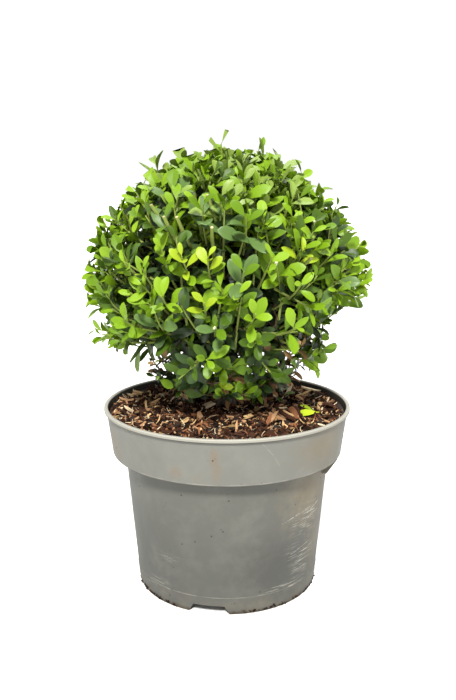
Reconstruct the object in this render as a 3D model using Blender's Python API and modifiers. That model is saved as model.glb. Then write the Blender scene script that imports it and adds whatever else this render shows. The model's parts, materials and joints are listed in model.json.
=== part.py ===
"""Potted japanese holly ball.

A clipped evergreen ball stands on a short forked trunk in a tapered plastic pot, with bare
leafy sprigs low round its foot. Metres, +Z up. The origin is the middle of the pot's underside.
The front is at -Y.
"""

import math
import random

import bmesh
import bpy
from mathutils import Matrix, Vector, noise
from mathutils.bvhtree import BVHTree

SEED = 3
GAP = 0.0003

# The pot, a turned shell with a wide band under its rim.
POT_HEIGHT = 0.174
RIM_RADIUS = 0.1165
LIP_WIDTH = 0.0038
BEAD_HEIGHT = 0.0032
BEAD_STEP = 0.0019
EDGE_ROUND = 0.0008
BAND_DROP = 0.0435
BAND_LOW_RADIUS = 0.1090
BODY_TOP_RADIUS = 0.0974
BASE_RADIUS = 0.0860
WALL = 0.0022
FOOT_WALL = 0.0032
FOOT_HEIGHT = 0.0110
SEAM_HEIGHT = 0.0170
SEAM_STEP = 0.0004
TURN_STEPS = 48

# Gaps in the foot ring, one of them a little left of the front.
NOTCHES = 3
NOTCH_TURN = math.radians(-101)
NOTCH_WIDTH = 0.038
NOTCH_TOP_WIDTH = 0.0285
NOTCH_HEIGHT = 0.0085
NOTCH_DEPTH = 0.03

# Small ribs under the band, one of them at the right.
LUGS = 2
LUG_TURN = math.radians(-24)
LUG_WIDTH = 0.0035
LUG_DROP = 0.0135
LUG_REACH = 0.0128
LUG_FOOT_REACH = 0.0075

# Drain holes in the raised base plate.
DRAINS = 6
DRAIN_RADIUS = 0.0045
DRAIN_CIRCLE = 0.060

# The bark mulch that fills the pot, mounded towards the trunk.
SOIL_EDGE = POT_HEIGHT - 0.0080
SOIL_TOP = POT_HEIGHT - 0.0015
SOIL_SEAT = 0.018
SOIL_RINGS = 7
SOIL_LUMP = 0.0022
SOIL_LUMP_SCALE = 90
SOIL_SLOPE = 1.6

# The trunk and its head, where the boughs fork.
TRUNK_HEIGHT = 0.031
TRUNK_RADIUS = 0.0078
FLARE_RADIUS = 0.0135
FLARE_HEIGHT = 0.0045
FLARE_LOBES = 5
FLARE_LOBE_DEPTH = 0.16
TRUNK_STEPS = 16
HEAD_RADIUS = 0.0105
TRUNK_LEAN = (0.0020, 0.0010)

# The ball: the outer reach of its leaves, and the core that they stand out of.
BALL_HEIGHT = 0.284
BALL_RADIUS = 0.1362
BALL_STRETCH = 1.035
BALL_FOOT = 0.2125
SHELL_DEPTH = 0.030
DISH_RIM_RADIUS = 0.088
DISH_RIM_HEIGHT = 0.235
DISH_TOP = 0.261
CORE_STEPS = 28
CORE_RINGS = 9
CORE_LUMP = 0.0030
CORE_LUMP_SCALE = 28
# Each hollow in the outline is (azimuth, elevation, depth, spread), in degrees and metres.
HOLLOWS = (
    (-4, -23, 0.0230, 19),
    (184, -38, 0.0120, 20),
    (250, -34, 0.0080, 22),
    (100, -30, 0.0120, 22),
    (45, 62, 0.0040, 25),
    (200, 40, 0.0030, 20),
)

# The boughs: one leader and a ring of others.
RING_BOUGHS = 6
RING_TILT = math.radians(58)
BOUGH_RADIUS = 0.0037
BOUGH_TIP_RADIUS = 0.0022
BOUGH_REACH = 0.046
BOUGH_SPREAD = 0.006
BOUGH_POINTS = 7
LEADER_TOP = 0.244
STEM_RADIUS = 0.0036

# The low boughs and the sprigs on them.
LOW_BOUGHS = 6
LOW_TURN = math.radians(-100)
LOW_RADIUS = 0.0018
LOW_TIP_RADIUS = 0.0013
LOW_START = 0.014
LOW_REACH = 0.036
LOW_RISE = 0.006
LOW_LIMIT = 0.090
LOW_STEM = 0.030
LOW_LEAVES = 5
SIDE_TWIG_SPREAD = 0.014
SIDE_TWIG_REACH = 0.012
LOW_CEILING = BALL_FOOT - 0.0010
LOW_FLOOR = SOIL_TOP + 0.0030

# The twigs and leaves of every mass.
SPRIGS = 84
SKIRT_SPRIGS = 14
SKIRT_ROOT = (-0.012, 0.010)
SKIRT_TIP = (-0.006, -0.009)
LOWEST_SPRIG = math.radians(-30)
SPRIG_ROOT = 0.86
SPRIG_LIFT = 0.10
TIP_ROOM = 0.018
LEAVES = 5
LEAF_LENGTH = (0.028, 0.034)
LEAF_WIDTH = 0.60
LEAF_THICKNESS = 0.055
LEAF_WAIST = 0.58
LEAF_SINK = 0.0007
LEAF_TRIES = 8
FIRST_LEAF = 0.55
LAST_LEAF = 0.96
WIDE_SPREAD = math.radians(82)
CLOSE_SPREAD = math.radians(44)
TWIG_RADIUS = 0.0019
TWIG_TIP_RADIUS = 0.0014
LIMB_MARGIN = 0.0030
GOLDEN_ANGLE = math.pi * (3 - math.sqrt(5))

UP = Vector((0, 0, 1))
BALL_CENTRE = Vector((0, 0, BALL_HEIGHT))
DISH_SLOPE = (DISH_TOP - DISH_RIM_HEIGHT) / DISH_RIM_RADIUS
TRUNK_FOOT = SOIL_TOP + GAP
HEAD = Vector((*TRUNK_LEAN, TRUNK_FOOT + TRUNK_HEIGHT))


def clear_scene():
    """Remove every object that the scene starts with."""
    for obj in list(bpy.data.objects):
        bpy.data.objects.remove(obj, do_unlink=True)


def new_collection(name, shown=True):
    """Make a collection in the scene. A helper's collection isn't rendered."""
    collection = bpy.data.collections.new(name)
    bpy.context.scene.collection.children.link(collection)
    collection.hide_render = not shown
    return collection


def new_material(name, colour, roughness):
    """Make a plain Principled material, with no metal in it."""
    material = bpy.data.materials.new(name)
    material.use_nodes = True
    shader = material.node_tree.nodes["Principled BSDF"]
    shader.inputs["Base Color"].default_value = (*colour, 1)
    shader.inputs["Roughness"].default_value = roughness
    shader.inputs["Metallic"].default_value = 0
    return material


def new_object(name, data, collection, material=None):
    """Make an object of the mesh or curve, with one material."""
    obj = bpy.data.objects.new(name, data)
    collection.objects.link(obj)
    if material:
        data.materials.append(material)
    return obj


def helper_object(name, data, collection):
    """Make an object that shapes another one and isn't part of the plant itself."""
    obj = new_object(name, data, collection)
    obj.hide_render = True
    obj.display_type = "WIRE"
    return obj


def mesh_of(name, bm):
    """Make a mesh of a bmesh, and free the bmesh."""
    mesh = bpy.data.meshes.new(name)
    bm.to_mesh(mesh)
    bm.free()
    return mesh


def turned(name, profile, steps, collection, material):
    """Turn a profile of (radius, height) points round the Z axis, outer side downwards."""
    bm = bmesh.new()
    points = [bm.verts.new((radius, 0, height)) for radius, height in profile]
    for upper, lower in zip(points, points[1:]):
        bm.edges.new((upper, lower))
    obj = new_object(name, mesh_of(name, bm), collection, material)
    screw = obj.modifiers.new("turn", "SCREW")
    screw.steps = steps
    screw.render_steps = steps
    screw.use_merge_vertices = True
    screw.merge_threshold = 0.00001
    return obj


def baked(obj):
    """Give the object the mesh that its modifiers make, and drop the modifiers."""
    graph = bpy.context.evaluated_depsgraph_get()
    mesh = bpy.data.meshes.new_from_object(obj.evaluated_get(graph))
    mesh.name = obj.name
    obj.modifiers.clear()
    obj.data = mesh
    return obj


def boolean(obj, collection, operation, solver="EXACT"):
    """Join the collection's objects to the object, or cut them from it."""
    modifier = obj.modifiers.new(operation.lower(), "BOOLEAN")
    modifier.operation = operation
    modifier.operand_type = "COLLECTION"
    modifier.collection = collection
    modifier.solver = solver


def shade_round(obj, angle=40):
    """Shade the object smooth, apart from edges sharper than the angle in degrees."""
    obj.data.shade_smooth()
    obj.data.set_sharp_from_angle(angle=math.radians(angle))


def polar(radius, azimuth, height):
    """The point at this distance from the Z axis, in this direction, at this height."""
    return Vector((radius * math.cos(azimuth), radius * math.sin(azimuth), height))


# The pot and its filling.


def body_radius(height):
    """The outer radius of the pot's body, under its band."""
    share = height / (POT_HEIGHT - BAND_DROP)
    return BASE_RADIUS + (BODY_TOP_RADIUS - BASE_RADIUS) * share


def band_radius(height):
    """The outer radius of the wide band, from its lower edge to the bead."""
    share = (height - POT_HEIGHT + BAND_DROP) / BAND_DROP
    return BAND_LOW_RADIUS + (RIM_RADIUS - BEAD_STEP - BAND_LOW_RADIUS) * share


def pot_profile():
    """The pot's section: floor, inside, lip, outside, foot ring and raised base plate."""
    ledge = POT_HEIGHT - BAND_DROP
    bead_low = POT_HEIGHT - BEAD_HEIGHT
    plate_top = FOOT_HEIGHT + WALL
    lip_inner = RIM_RADIUS - LIP_WIDTH
    return (
        (0, plate_top),
        (body_radius(plate_top) - WALL, plate_top),
        (BODY_TOP_RADIUS - WALL, ledge + WALL),
        (BAND_LOW_RADIUS - WALL, ledge + WALL),
        (lip_inner, POT_HEIGHT - 2 * EDGE_ROUND),
        (lip_inner + EDGE_ROUND, POT_HEIGHT),
        (RIM_RADIUS - EDGE_ROUND, POT_HEIGHT),
        (RIM_RADIUS, POT_HEIGHT - EDGE_ROUND),
        (RIM_RADIUS, bead_low),
        (band_radius(bead_low), bead_low - EDGE_ROUND),
        (band_radius(ledge + EDGE_ROUND), ledge + EDGE_ROUND),
        (BAND_LOW_RADIUS - EDGE_ROUND, ledge),
        (BODY_TOP_RADIUS, ledge),
        (body_radius(SEAM_HEIGHT), SEAM_HEIGHT),
        (body_radius(SEAM_HEIGHT) + SEAM_STEP, SEAM_HEIGHT - SEAM_STEP),
        (BASE_RADIUS, EDGE_ROUND),
        (BASE_RADIUS - EDGE_ROUND, 0),
        (BASE_RADIUS - FOOT_WALL, 0),
        (BASE_RADIUS - FOOT_WALL, FOOT_HEIGHT),
        (0, FOOT_HEIGHT),
    )


def add_notch_cutters(cutters):
    """A block with slanted ends for each gap in the foot ring."""
    for index in range(NOTCHES):
        azimuth = NOTCH_TURN + index * math.tau / NOTCHES
        bm = bmesh.new()
        bmesh.ops.create_cube(bm, size=1)
        bmesh.ops.scale(bm, vec=(NOTCH_DEPTH, NOTCH_WIDTH, 2 * NOTCH_HEIGHT), verts=bm.verts)
        for vert in bm.verts:
            if vert.co.z > 0:
                vert.co.y *= NOTCH_TOP_WIDTH / NOTCH_WIDTH
            else:
                vert.co.y *= 2 - NOTCH_TOP_WIDTH / NOTCH_WIDTH
        cutter = helper_object(f"notch_cutter_{index + 1}", mesh_of("notch", bm), cutters)
        cutter.location = polar(BASE_RADIUS - WALL, azimuth, 0)
        cutter.rotation_euler.z = azimuth


def add_drain_cutters(cutters):
    """A short pin through the base plate for each drain hole."""
    for index in range(DRAINS):
        bm = bmesh.new()
        bmesh.ops.create_cone(
            bm,
            cap_ends=True,
            segments=12,
            radius1=DRAIN_RADIUS,
            radius2=DRAIN_RADIUS,
            depth=4 * WALL,
        )
        cutter = helper_object(f"drain_cutter_{index + 1}", mesh_of("drain", bm), cutters)
        azimuth = NOTCH_TURN + (index + 0.5) * math.tau / DRAINS
        cutter.location = polar(DRAIN_CIRCLE, azimuth, FOOT_HEIGHT + WALL / 2)


def add_lugs(lugs):
    """A tapering rib in the corner between the band and the body, for each lug."""
    ledge = POT_HEIGHT - BAND_DROP
    inner = body_radius(ledge - LUG_DROP) - WALL / 2
    for index in range(LUGS):
        bm = bmesh.new()
        bmesh.ops.create_cube(bm, size=1)
        for vert in bm.verts:
            upper = vert.co.z > 0
            reach = LUG_REACH if upper else LUG_FOOT_REACH
            vert.co.x = BODY_TOP_RADIUS + reach if vert.co.x > 0 else inner
            vert.co.x -= 0 if upper else (BODY_TOP_RADIUS - body_radius(ledge - LUG_DROP))
            vert.co.y *= LUG_WIDTH
            vert.co.z = ledge + WALL / 2 if upper else ledge - LUG_DROP
        lug = helper_object(f"lug_{index + 1}", mesh_of("lug", bm), lugs)
        lug.rotation_euler.z = LUG_TURN + index * math.tau / LUGS


def add_pot(plant):
    """The pot: a turned shell, with its ribs joined on and its notches and drains cut."""
    plastic = new_material("pot_plastic", (0.29, 0.285, 0.255), 0.55)
    pot = turned("pot", pot_profile(), TURN_STEPS, plant, plastic)
    lugs = new_collection("pot_lugs", shown=False)
    cutters = new_collection("pot_cutters", shown=False)
    add_lugs(lugs)
    add_notch_cutters(cutters)
    add_drain_cutters(cutters)
    boolean(pot, lugs, "UNION")
    boolean(pot, cutters, "DIFFERENCE")
    baked(pot)
    for helper in (*lugs.objects, *cutters.objects):
        bpy.data.objects.remove(helper)
    for collection in (lugs, cutters):
        bpy.data.collections.remove(collection)
    shade_round(pot)


def soil_height(share):
    """The mound's height at this share of the way from its flat seat to the wall."""
    return SOIL_TOP - (SOIL_TOP - SOIL_EDGE) * share**SOIL_SLOPE


def soil_profile():
    """The section of the mulch: mound, side along the pot's inside, and bottom."""
    ledge = POT_HEIGHT - BAND_DROP + WALL
    bottom = FOOT_HEIGHT + WALL + GAP
    edge = band_radius(SOIL_EDGE) - WALL - 2 * GAP
    shares = [ring / SOIL_RINGS for ring in range(SOIL_RINGS + 1)]
    mound = [(SOIL_SEAT + (edge - SOIL_SEAT) * share, soil_height(share)) for share in shares]
    return (
        (0, SOIL_TOP),
        *mound,
        (BAND_LOW_RADIUS - WALL - 2 * GAP, ledge + GAP),
        (BODY_TOP_RADIUS - WALL - 2 * GAP, ledge + GAP),
        (body_radius(bottom) - WALL - 2 * GAP, bottom),
        (0, bottom),
    )


def add_soil(plant):
    """The mulch in the pot, with a lumpy top that is flat only where the trunk stands."""
    bark_mulch = new_material("bark_mulch", (0.055, 0.030, 0.019), 0.95)
    soil = baked(turned("soil", soil_profile(), TURN_STEPS, plant, bark_mulch))
    wall = band_radius(SOIL_EDGE) - WALL
    for vert in soil.data.vertices:
        radius = vert.co.xy.length
        if vert.co.z < SOIL_EDGE - GAP or radius < SOIL_SEAT + GAP or radius > wall - 4 * GAP:
            continue
        vert.co.z += SOIL_LUMP * noise.noise(vert.co * SOIL_LUMP_SCALE)
    shade_round(soil)


# The trunk, the boughs and the low boughs.


def trunk_profile():
    """The trunk's section from the head down: a round head, a waist and a flared foot."""
    waist_angle = math.asin(TRUNK_RADIUS / HEAD_RADIUS)
    head = []
    for step in range(6):
        angle = (math.pi - waist_angle) * step / 5
        head.append((HEAD_RADIUS * math.sin(angle), TRUNK_HEIGHT + HEAD_RADIUS * math.cos(angle)))
    waist = head[-1][1]
    stem = []
    for step in range(1, 6):
        height = waist * (1 - step / 5)
        flare = (FLARE_RADIUS - TRUNK_RADIUS) * math.exp(-height / FLARE_HEIGHT)
        stem.append((TRUNK_RADIUS + flare, height))
    return (*head, *stem, (0, 0))


def add_trunk(plant, bark):
    """The short trunk, with a root flare in lobes and a slight lean."""
    trunk = baked(turned("trunk", trunk_profile(), TRUNK_STEPS, plant, bark))
    for vert in trunk.data.vertices:
        height = vert.co.z
        lobe = FLARE_LOBE_DEPTH * math.exp(-height / FLARE_HEIGHT)
        azimuth = math.atan2(vert.co.y, vert.co.x)
        vert.co.xy *= 1 + lobe * math.cos(FLARE_LOBES * azimuth)
        vert.co.xy += Vector(TRUNK_LEAN) * min(height / TRUNK_HEIGHT, 1)
        vert.co.z += TRUNK_FOOT
    shade_round(trunk)


def dish_height(radius):
    """The height of the underside of the ball's core at this distance from its middle."""
    return DISH_TOP - DISH_SLOPE * radius


def bezier(start, bend, end, share):
    """The point at this share of the way along a curve through one bend."""
    return start.lerp(bend, share).lerp(bend.lerp(end, share), share)


def add_limb(name, route, radii, plant, bark):
    """One tapering limb along a route of points, as a curve tube with flat ends."""
    curve = bpy.data.curves.new(name, "CURVE")
    curve.dimensions = "3D"
    curve.bevel_depth = 1
    curve.bevel_resolution = 2
    curve.use_fill_caps = True
    spline = curve.splines.new("POLY")
    spline.points.add(len(route) - 1)
    for index, (point, place) in enumerate(zip(spline.points, route)):
        point.co = (*place, 1)
        point.radius = radii[0] + (radii[1] - radii[0]) * index / (len(route) - 1)
    spline.use_smooth = True
    new_object(name, curve, plant, bark)


def ring_bough_route(index):
    """A bough from the trunk's head up and out to the underside of the ball's core."""
    azimuth = (index + 0.3) * math.tau / RING_BOUGHS + random.uniform(-0.12, 0.12)
    outward = polar(1, azimuth, 0)
    tilt = RING_TILT + random.uniform(-0.05, 0.05)
    leaving = outward * math.sin(tilt) + UP * math.cos(tilt)
    start = HEAD + leaving * (HEAD_RADIUS + GAP)
    arriving = (outward * DISH_SLOPE + UP).normalized()
    reach = BOUGH_REACH + random.uniform(-BOUGH_SPREAD, BOUGH_SPREAD)
    end = outward * reach + UP * dish_height(reach) - arriving * 2 * GAP
    bend = end - arriving * 0.35 * (end.z - start.z)
    bend = bend.lerp(start + leaving * 0.6 * (end - start).length, 0.3)
    return [
        bezier(start, bend, end, step / (BOUGH_POINTS - 1)) for step in range(BOUGH_POINTS)
    ]


def leader_route():
    """The leader: straight up from the trunk's head towards the stem of the ball."""
    start = HEAD + UP * (HEAD_RADIUS + GAP)
    end = Vector((HEAD.x, HEAD.y, LEADER_TOP))
    return [start.lerp(end, step / 3) for step in range(4)]


def low_azimuth(index):
    """The direction of a low bough."""
    return LOW_TURN + index * math.tau / LOW_BOUGHS


def low_bough_route(index):
    """A thin low bough from the trunk's side, rising a little on its way out."""
    outward = polar(1, low_azimuth(index), 0)
    share = LOW_START / TRUNK_HEIGHT
    flare = (FLARE_RADIUS - TRUNK_RADIUS) * math.exp(-LOW_START / FLARE_HEIGHT)
    side = Vector((*TRUNK_LEAN, 0)) * share + UP * (TRUNK_FOOT + LOW_START)
    start = side + outward * (TRUNK_RADIUS + flare + 2 * GAP)
    bend = start + outward * 0.5 * (LOW_REACH - TRUNK_RADIUS)
    end = polar(LOW_REACH, low_azimuth(index), start.z + LOW_RISE)
    return [bezier(start, bend, end, step / 4) for step in range(5)]


# The masses of foliage.


def hollow_depth(direction):
    """How much the hollows in the outline take off the ball in this direction."""
    depth_here = 0
    for azimuth, elevation, depth, spread in HOLLOWS:
        level = math.cos(math.radians(elevation))
        hollow = polar(level, math.radians(azimuth), math.sin(math.radians(elevation)))
        turn = math.degrees(hollow.angle(direction)) / spread
        depth_here += depth * math.exp(-turn * turn)
    return depth_here


def ball_reach(direction):
    """How far the leaves reach from the ball's centre in this direction."""
    stretch = 1 + (BALL_STRETCH - 1) * max(direction.z, 0) ** 2
    return BALL_RADIUS * stretch - hollow_depth(direction)


def in_ball(point):
    """Whether the point is in the space that the ball's leaves keep to."""
    offset = point - BALL_CENTRE
    return point.z > BALL_FOOT and offset.length < ball_reach(offset.normalized())


def low_space(index):
    """The test for the space of one low sprig: a sector between the soil and the ball."""

    def inside(point):
        turn = (math.atan2(point.y, point.x) - low_azimuth(index) + math.pi) % math.tau - math.pi
        side = abs(math.sin(turn)) * point.xy.length
        room = math.tan(math.pi / LOW_BOUGHS) * math.cos(turn) * point.xy.length
        level = LOW_FLOOR < point.z < LOW_CEILING
        return level and point.xy.length < LOW_LIMIT and side < room - 0.001

    return inside


def clear_of(limbs, point):
    """Whether the point stays off every limb, given as (route, thickest radius) pairs."""
    for route, radius in limbs:
        for start, end in zip(route, route[1:]):
            along = end - start
            share = max(0, min(1, (point - start).dot(along) / along.length_squared))
            if (point - start - along * share).length < radius + LIMB_MARGIN:
                return False
    return True


def frame_at(origin, forward, facing):
    """A matrix at the origin, with Z along forward and Y as near facing as it can be."""
    side = facing.cross(forward).normalized()
    front = forward.cross(side).normalized()
    axes = Matrix((side, front, forward.normalized())).transposed().to_4x4()
    return Matrix.Translation(origin) @ axes


def twig_mesh(start, end, radii, sides=3):
    """A straight tapering twig, three-sided unless it is a mass's stem."""
    along = end - start
    facing = Vector((0.31, 0.52, 0.8)).normalized()
    bm = bmesh.new()
    bmesh.ops.create_cone(
        bm,
        cap_ends=True,
        segments=sides,
        radius1=radii[0],
        radius2=radii[1],
        depth=along.length,
        matrix=frame_at(start.lerp(end, 0.5), along, facing),
    )
    return mesh_of("twig", bm)


def leaf_mesh(frame, length):
    """An eight-sided leaf along the frame's Z axis, thick at its middle and widest past it."""
    bm = bmesh.new()
    bmesh.ops.create_uvsphere(bm, u_segments=4, v_segments=2, radius=0.5)
    for vert in bm.verts:
        on_edge = abs(vert.co.z) < 0.25
        vert.co.x *= LEAF_WIDTH * length
        vert.co.y *= LEAF_THICKNESS * length
        vert.co.z = LEAF_WAIST * length if on_edge else (vert.co.z + 0.5) * length
    bm.transform(frame)
    return mesh_of("leaf", bm)


def tree_of(mesh):
    """A tree of the mesh's faces, to test whether another mesh cuts it."""
    faces = [face.vertices[:] for face in mesh.polygons]
    return BVHTree.FromPolygons([vert.co for vert in mesh.vertices], faces)


class Growth:
    """The twigs and leaves of one mass, before they are joined into one body."""

    def __init__(self, inside, limbs, core=None):
        """Keep the test for the mass's space, the limbs to stay off and the core's surface."""
        self.collection = new_collection("growth", shown=False)
        self.inside = inside
        self.limbs = limbs
        self.blades = []
        if core:
            self.blades.append((BALL_CENTRE, BALL_RADIUS, tree_of(core.data)))

    def add_twig(self, start, end, radii, sides=3):
        """Add a twig."""
        helper_object("twig", twig_mesh(start, end, radii, sides), self.collection)

    def add_leaf(self, place, forward, facing, length):
        """Add a leaf, if it keeps to the space and cuts neither a limb nor another leaf."""
        frame = frame_at(place - forward * LEAF_SINK, forward, facing)
        mesh = leaf_mesh(frame, length)
        corners = [vert.co for vert in mesh.vertices if (vert.co - place).length > LEAF_SINK * 2]
        spots = [place.lerp(corner, share) for corner in corners for share in (0.4, 0.7, 1)]
        middle = place + forward * length / 2
        if not all(self.inside(spot) and clear_of(self.limbs, spot) for spot in spots):
            return False
        tree = tree_of(mesh)
        for centre, reach, other in self.blades:
            if (centre - middle).length < reach + length / 2 and other.overlap(tree):
                return False
        self.blades.append((middle, length / 2, tree))
        helper_object("leaf", mesh, self.collection)
        return True

    def add_sprig(self, start, end, leaves):
        """Add a twig whose leaves spiral round its outer half, closer to it at its tip."""
        if not all(clear_of(self.limbs, start.lerp(end, share)) for share in (0, 0.5, 1)):
            return
        along = (end - start).normalized()
        side = along.orthogonal().normalized()
        self.add_twig(start, end, (TWIG_RADIUS, TWIG_TIP_RADIUS))
        turn = random.uniform(0, math.tau)
        for index in range(leaves):
            share = index / (leaves - 1)
            place = start.lerp(end, FIRST_LEAF + (LAST_LEAF - FIRST_LEAF) * share)
            turn += GOLDEN_ANGLE
            for _ in range(LEAF_TRIES):
                spread = WIDE_SPREAD + (CLOSE_SPREAD - WIDE_SPREAD) * share
                spread += random.uniform(-0.2, 0.2)
                outward = Matrix.Rotation(turn + random.uniform(-0.5, 0.5), 3, along) @ side
                forward = along * math.cos(spread) + outward * math.sin(spread)
                facing = along * math.sin(spread) - outward * math.cos(spread)
                if self.add_leaf(place, forward, facing, random.uniform(*LEAF_LENGTH)):
                    break

    def fuse_to(self, obj):
        """Join everything to the object, and keep only its largest closed shell."""
        boolean(obj, self.collection, "UNION", solver="MANIFOLD")
        baked(obj)
        for piece in list(self.collection.objects):
            bpy.data.objects.remove(piece)
        bpy.data.collections.remove(self.collection)
        bm = bmesh.new()
        bm.from_mesh(obj.data)
        kept = largest_shell(bm)
        scraps = [face for face in bm.faces if face not in kept]
        bmesh.ops.delete(bm, geom=scraps, context="FACES")
        bm.to_mesh(obj.data)
        bm.free()


def largest_shell(bm):
    """The faces of the largest connected shell, without scraps and sealed hollows."""
    unseen = set(bm.faces)
    largest = []
    while unseen:
        shell = [unseen.pop()]
        for face in shell:
            for edge in face.edges:
                near = [other for other in edge.link_faces if other in unseen]
                unseen.difference_update(near)
                shell.extend(near)
        if len(shell) > len(largest):
            largest = shell
    return set(largest)


def core_profile():
    """The section of the ball's core: a dome over an underside that is dished upwards."""
    rim = Vector((DISH_RIM_RADIUS, 0, DISH_RIM_HEIGHT)) - BALL_CENTRE
    lowest = math.atan2(rim.z, rim.x)
    dome = []
    for ring in range(CORE_RINGS):
        elevation = math.pi / 2 + (lowest - math.pi / 2) * ring / CORE_RINGS
        direction = Vector((math.cos(elevation), 0, math.sin(elevation)))
        reach = BALL_RADIUS - SHELL_DEPTH
        dome.append((reach * direction.x, BALL_HEIGHT + reach * BALL_STRETCH * direction.z))
    return (*dome, (DISH_RIM_RADIUS, DISH_RIM_HEIGHT), (0, DISH_TOP))


def shape_core(core):
    """Push the dome in at the outline's hollows and make it lumpy. The dish stays true."""
    for vert in core.data.vertices:
        direction = (vert.co - BALL_CENTRE).normalized()
        radius = vert.co.xy.length
        if abs(vert.co.z - dish_height(radius)) < GAP:
            if radius > GAP:
                radius -= hollow_depth(direction)
                vert.co = polar(radius, math.atan2(vert.co.y, vert.co.x), dish_height(radius))
            continue
        lump = CORE_LUMP * noise.noise(vert.co * CORE_LUMP_SCALE)
        vert.co += direction * (lump - hollow_depth(direction))


def sprig_direction(index):
    """The direction of a sprig on an even spiral over the ball, a little out of true."""
    lowest = math.sin(LOWEST_SPRIG)
    height = 1 - (1 - lowest) * (index + 0.5) / SPRIGS + random.uniform(-0.03, 0.03)
    azimuth = index * GOLDEN_ANGLE + random.uniform(-0.12, 0.12)
    height = max(-1, min(1, height))
    return polar(math.sqrt(1 - height * height), azimuth, height)


def add_ball(plant, green, limbs):
    """The clipped ball: core, stem, sprigs all round and a skirt of sprigs under its edge."""
    core = baked(turned("foliage_ball", core_profile(), CORE_STEPS, plant, green))
    shape_core(core)
    growth = Growth(in_ball, limbs, core)
    stem_foot = Vector((HEAD.x, HEAD.y, LEADER_TOP + GAP))
    growth.add_twig(stem_foot, BALL_CENTRE, (STEM_RADIUS, BOUGH_TIP_RADIUS), sides=8)
    for index in range(SPRIGS):
        direction = sprig_direction(index)
        start = BALL_CENTRE + direction * (ball_reach(direction) - SHELL_DEPTH) * SPRIG_ROOT
        bent = (direction + UP * SPRIG_LIFT).normalized()
        end = BALL_CENTRE + bent * (ball_reach(bent) - TIP_ROOM)
        growth.add_sprig(start, end, LEAVES)
    for index in range(SKIRT_SPRIGS):
        azimuth = (index + 0.5) * math.tau / SKIRT_SPRIGS + random.uniform(-0.1, 0.1)
        start, end = (
            polar(DISH_RIM_RADIUS + outward, azimuth, DISH_RIM_HEIGHT + upward)
            for outward, upward in (SKIRT_ROOT, SKIRT_TIP)
        )
        growth.add_sprig(start, end, LEAVES)
    growth.fuse_to(core)


def add_low_sprig(plant, green, index, route, limbs):
    """A small open mass on a low bough: one stem with side twigs and a few leaves on each."""
    growth = Growth(low_space(index), limbs)
    outward = (route[-1] - route[-2]).normalized()
    across = outward.cross(UP).normalized()
    start = route[-1] + outward * GAP
    end = start + outward * LOW_STEM + UP * random.uniform(-0.004, 0.002)
    stem = twig_mesh(start, end, (LOW_TIP_RADIUS, TWIG_TIP_RADIUS), sides=6)
    sprig = new_object(f"low_sprig_{index + 1}", stem, plant, green)
    for side in (-1, 1):
        fork = start.lerp(end, 0.45 + 0.12 * side)
        tip = fork + across * side * SIDE_TWIG_SPREAD + outward * SIDE_TWIG_REACH
        tip.z += random.uniform(-0.003, 0.005)
        growth.add_sprig(fork, tip, LOW_LEAVES)
    growth.add_sprig(start.lerp(end, 0.5), end + outward * 0.002, LOW_LEAVES)
    growth.fuse_to(sprig)


def main():
    """Build the pot, its filling, the limbs and the masses of foliage."""
    random.seed(SEED)
    clear_scene()
    plant = new_collection("potted_japanese_holly_ball")
    bark = new_material("bark", (0.115, 0.075, 0.050), 0.85)
    green = new_material("foliage", (0.085, 0.20, 0.030), 0.50)
    add_pot(plant)
    add_soil(plant)
    add_trunk(plant, bark)
    limbs = [(leader_route(), BOUGH_RADIUS)]
    limbs += [(ring_bough_route(index), BOUGH_RADIUS) for index in range(RING_BOUGHS)]
    limbs += [(low_bough_route(index), LOW_RADIUS) for index in range(LOW_BOUGHS)]
    add_limb("leader", limbs[0][0], (BOUGH_RADIUS, BOUGH_TIP_RADIUS), plant, bark)
    for index in range(RING_BOUGHS):
        radii = (BOUGH_RADIUS, BOUGH_TIP_RADIUS)
        add_limb(f"bough_{index + 1}", limbs[1 + index][0], radii, plant, bark)
    for index in range(LOW_BOUGHS):
        radii = (LOW_RADIUS, LOW_TIP_RADIUS)
        add_limb(f"low_bough_{index + 1}", limbs[1 + RING_BOUGHS + index][0], radii, plant, bark)
    add_ball(plant, green, limbs)
    for index in range(LOW_BOUGHS):
        add_low_sprig(plant, green, index, limbs[1 + RING_BOUGHS + index][0], limbs)


main()
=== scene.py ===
"""Looks of the potted japanese holly ball.

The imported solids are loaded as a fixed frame, and the visible surfaces are made round them: the
plastic pot, the bark mulch that fills it, the bark of the limbs, and the twigs and leaves of the
clipped ball and of the low sprigs. Metres, +Z up. The front is at -Y.
"""

import json
import logging
import random
from collections.abc import Callable, Sequence
from dataclasses import dataclass, field
from enum import Enum
from math import asin, atan2, cos, degrees, exp, hypot, log, pi, radians, sin, sqrt, tan, tau

import bmesh
import bpy
import numpy as np
from bpy.types import ID, Material, Mesh, Node, NodeSocket, Object, World
from mathutils import Matrix, Vector, noise

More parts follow.
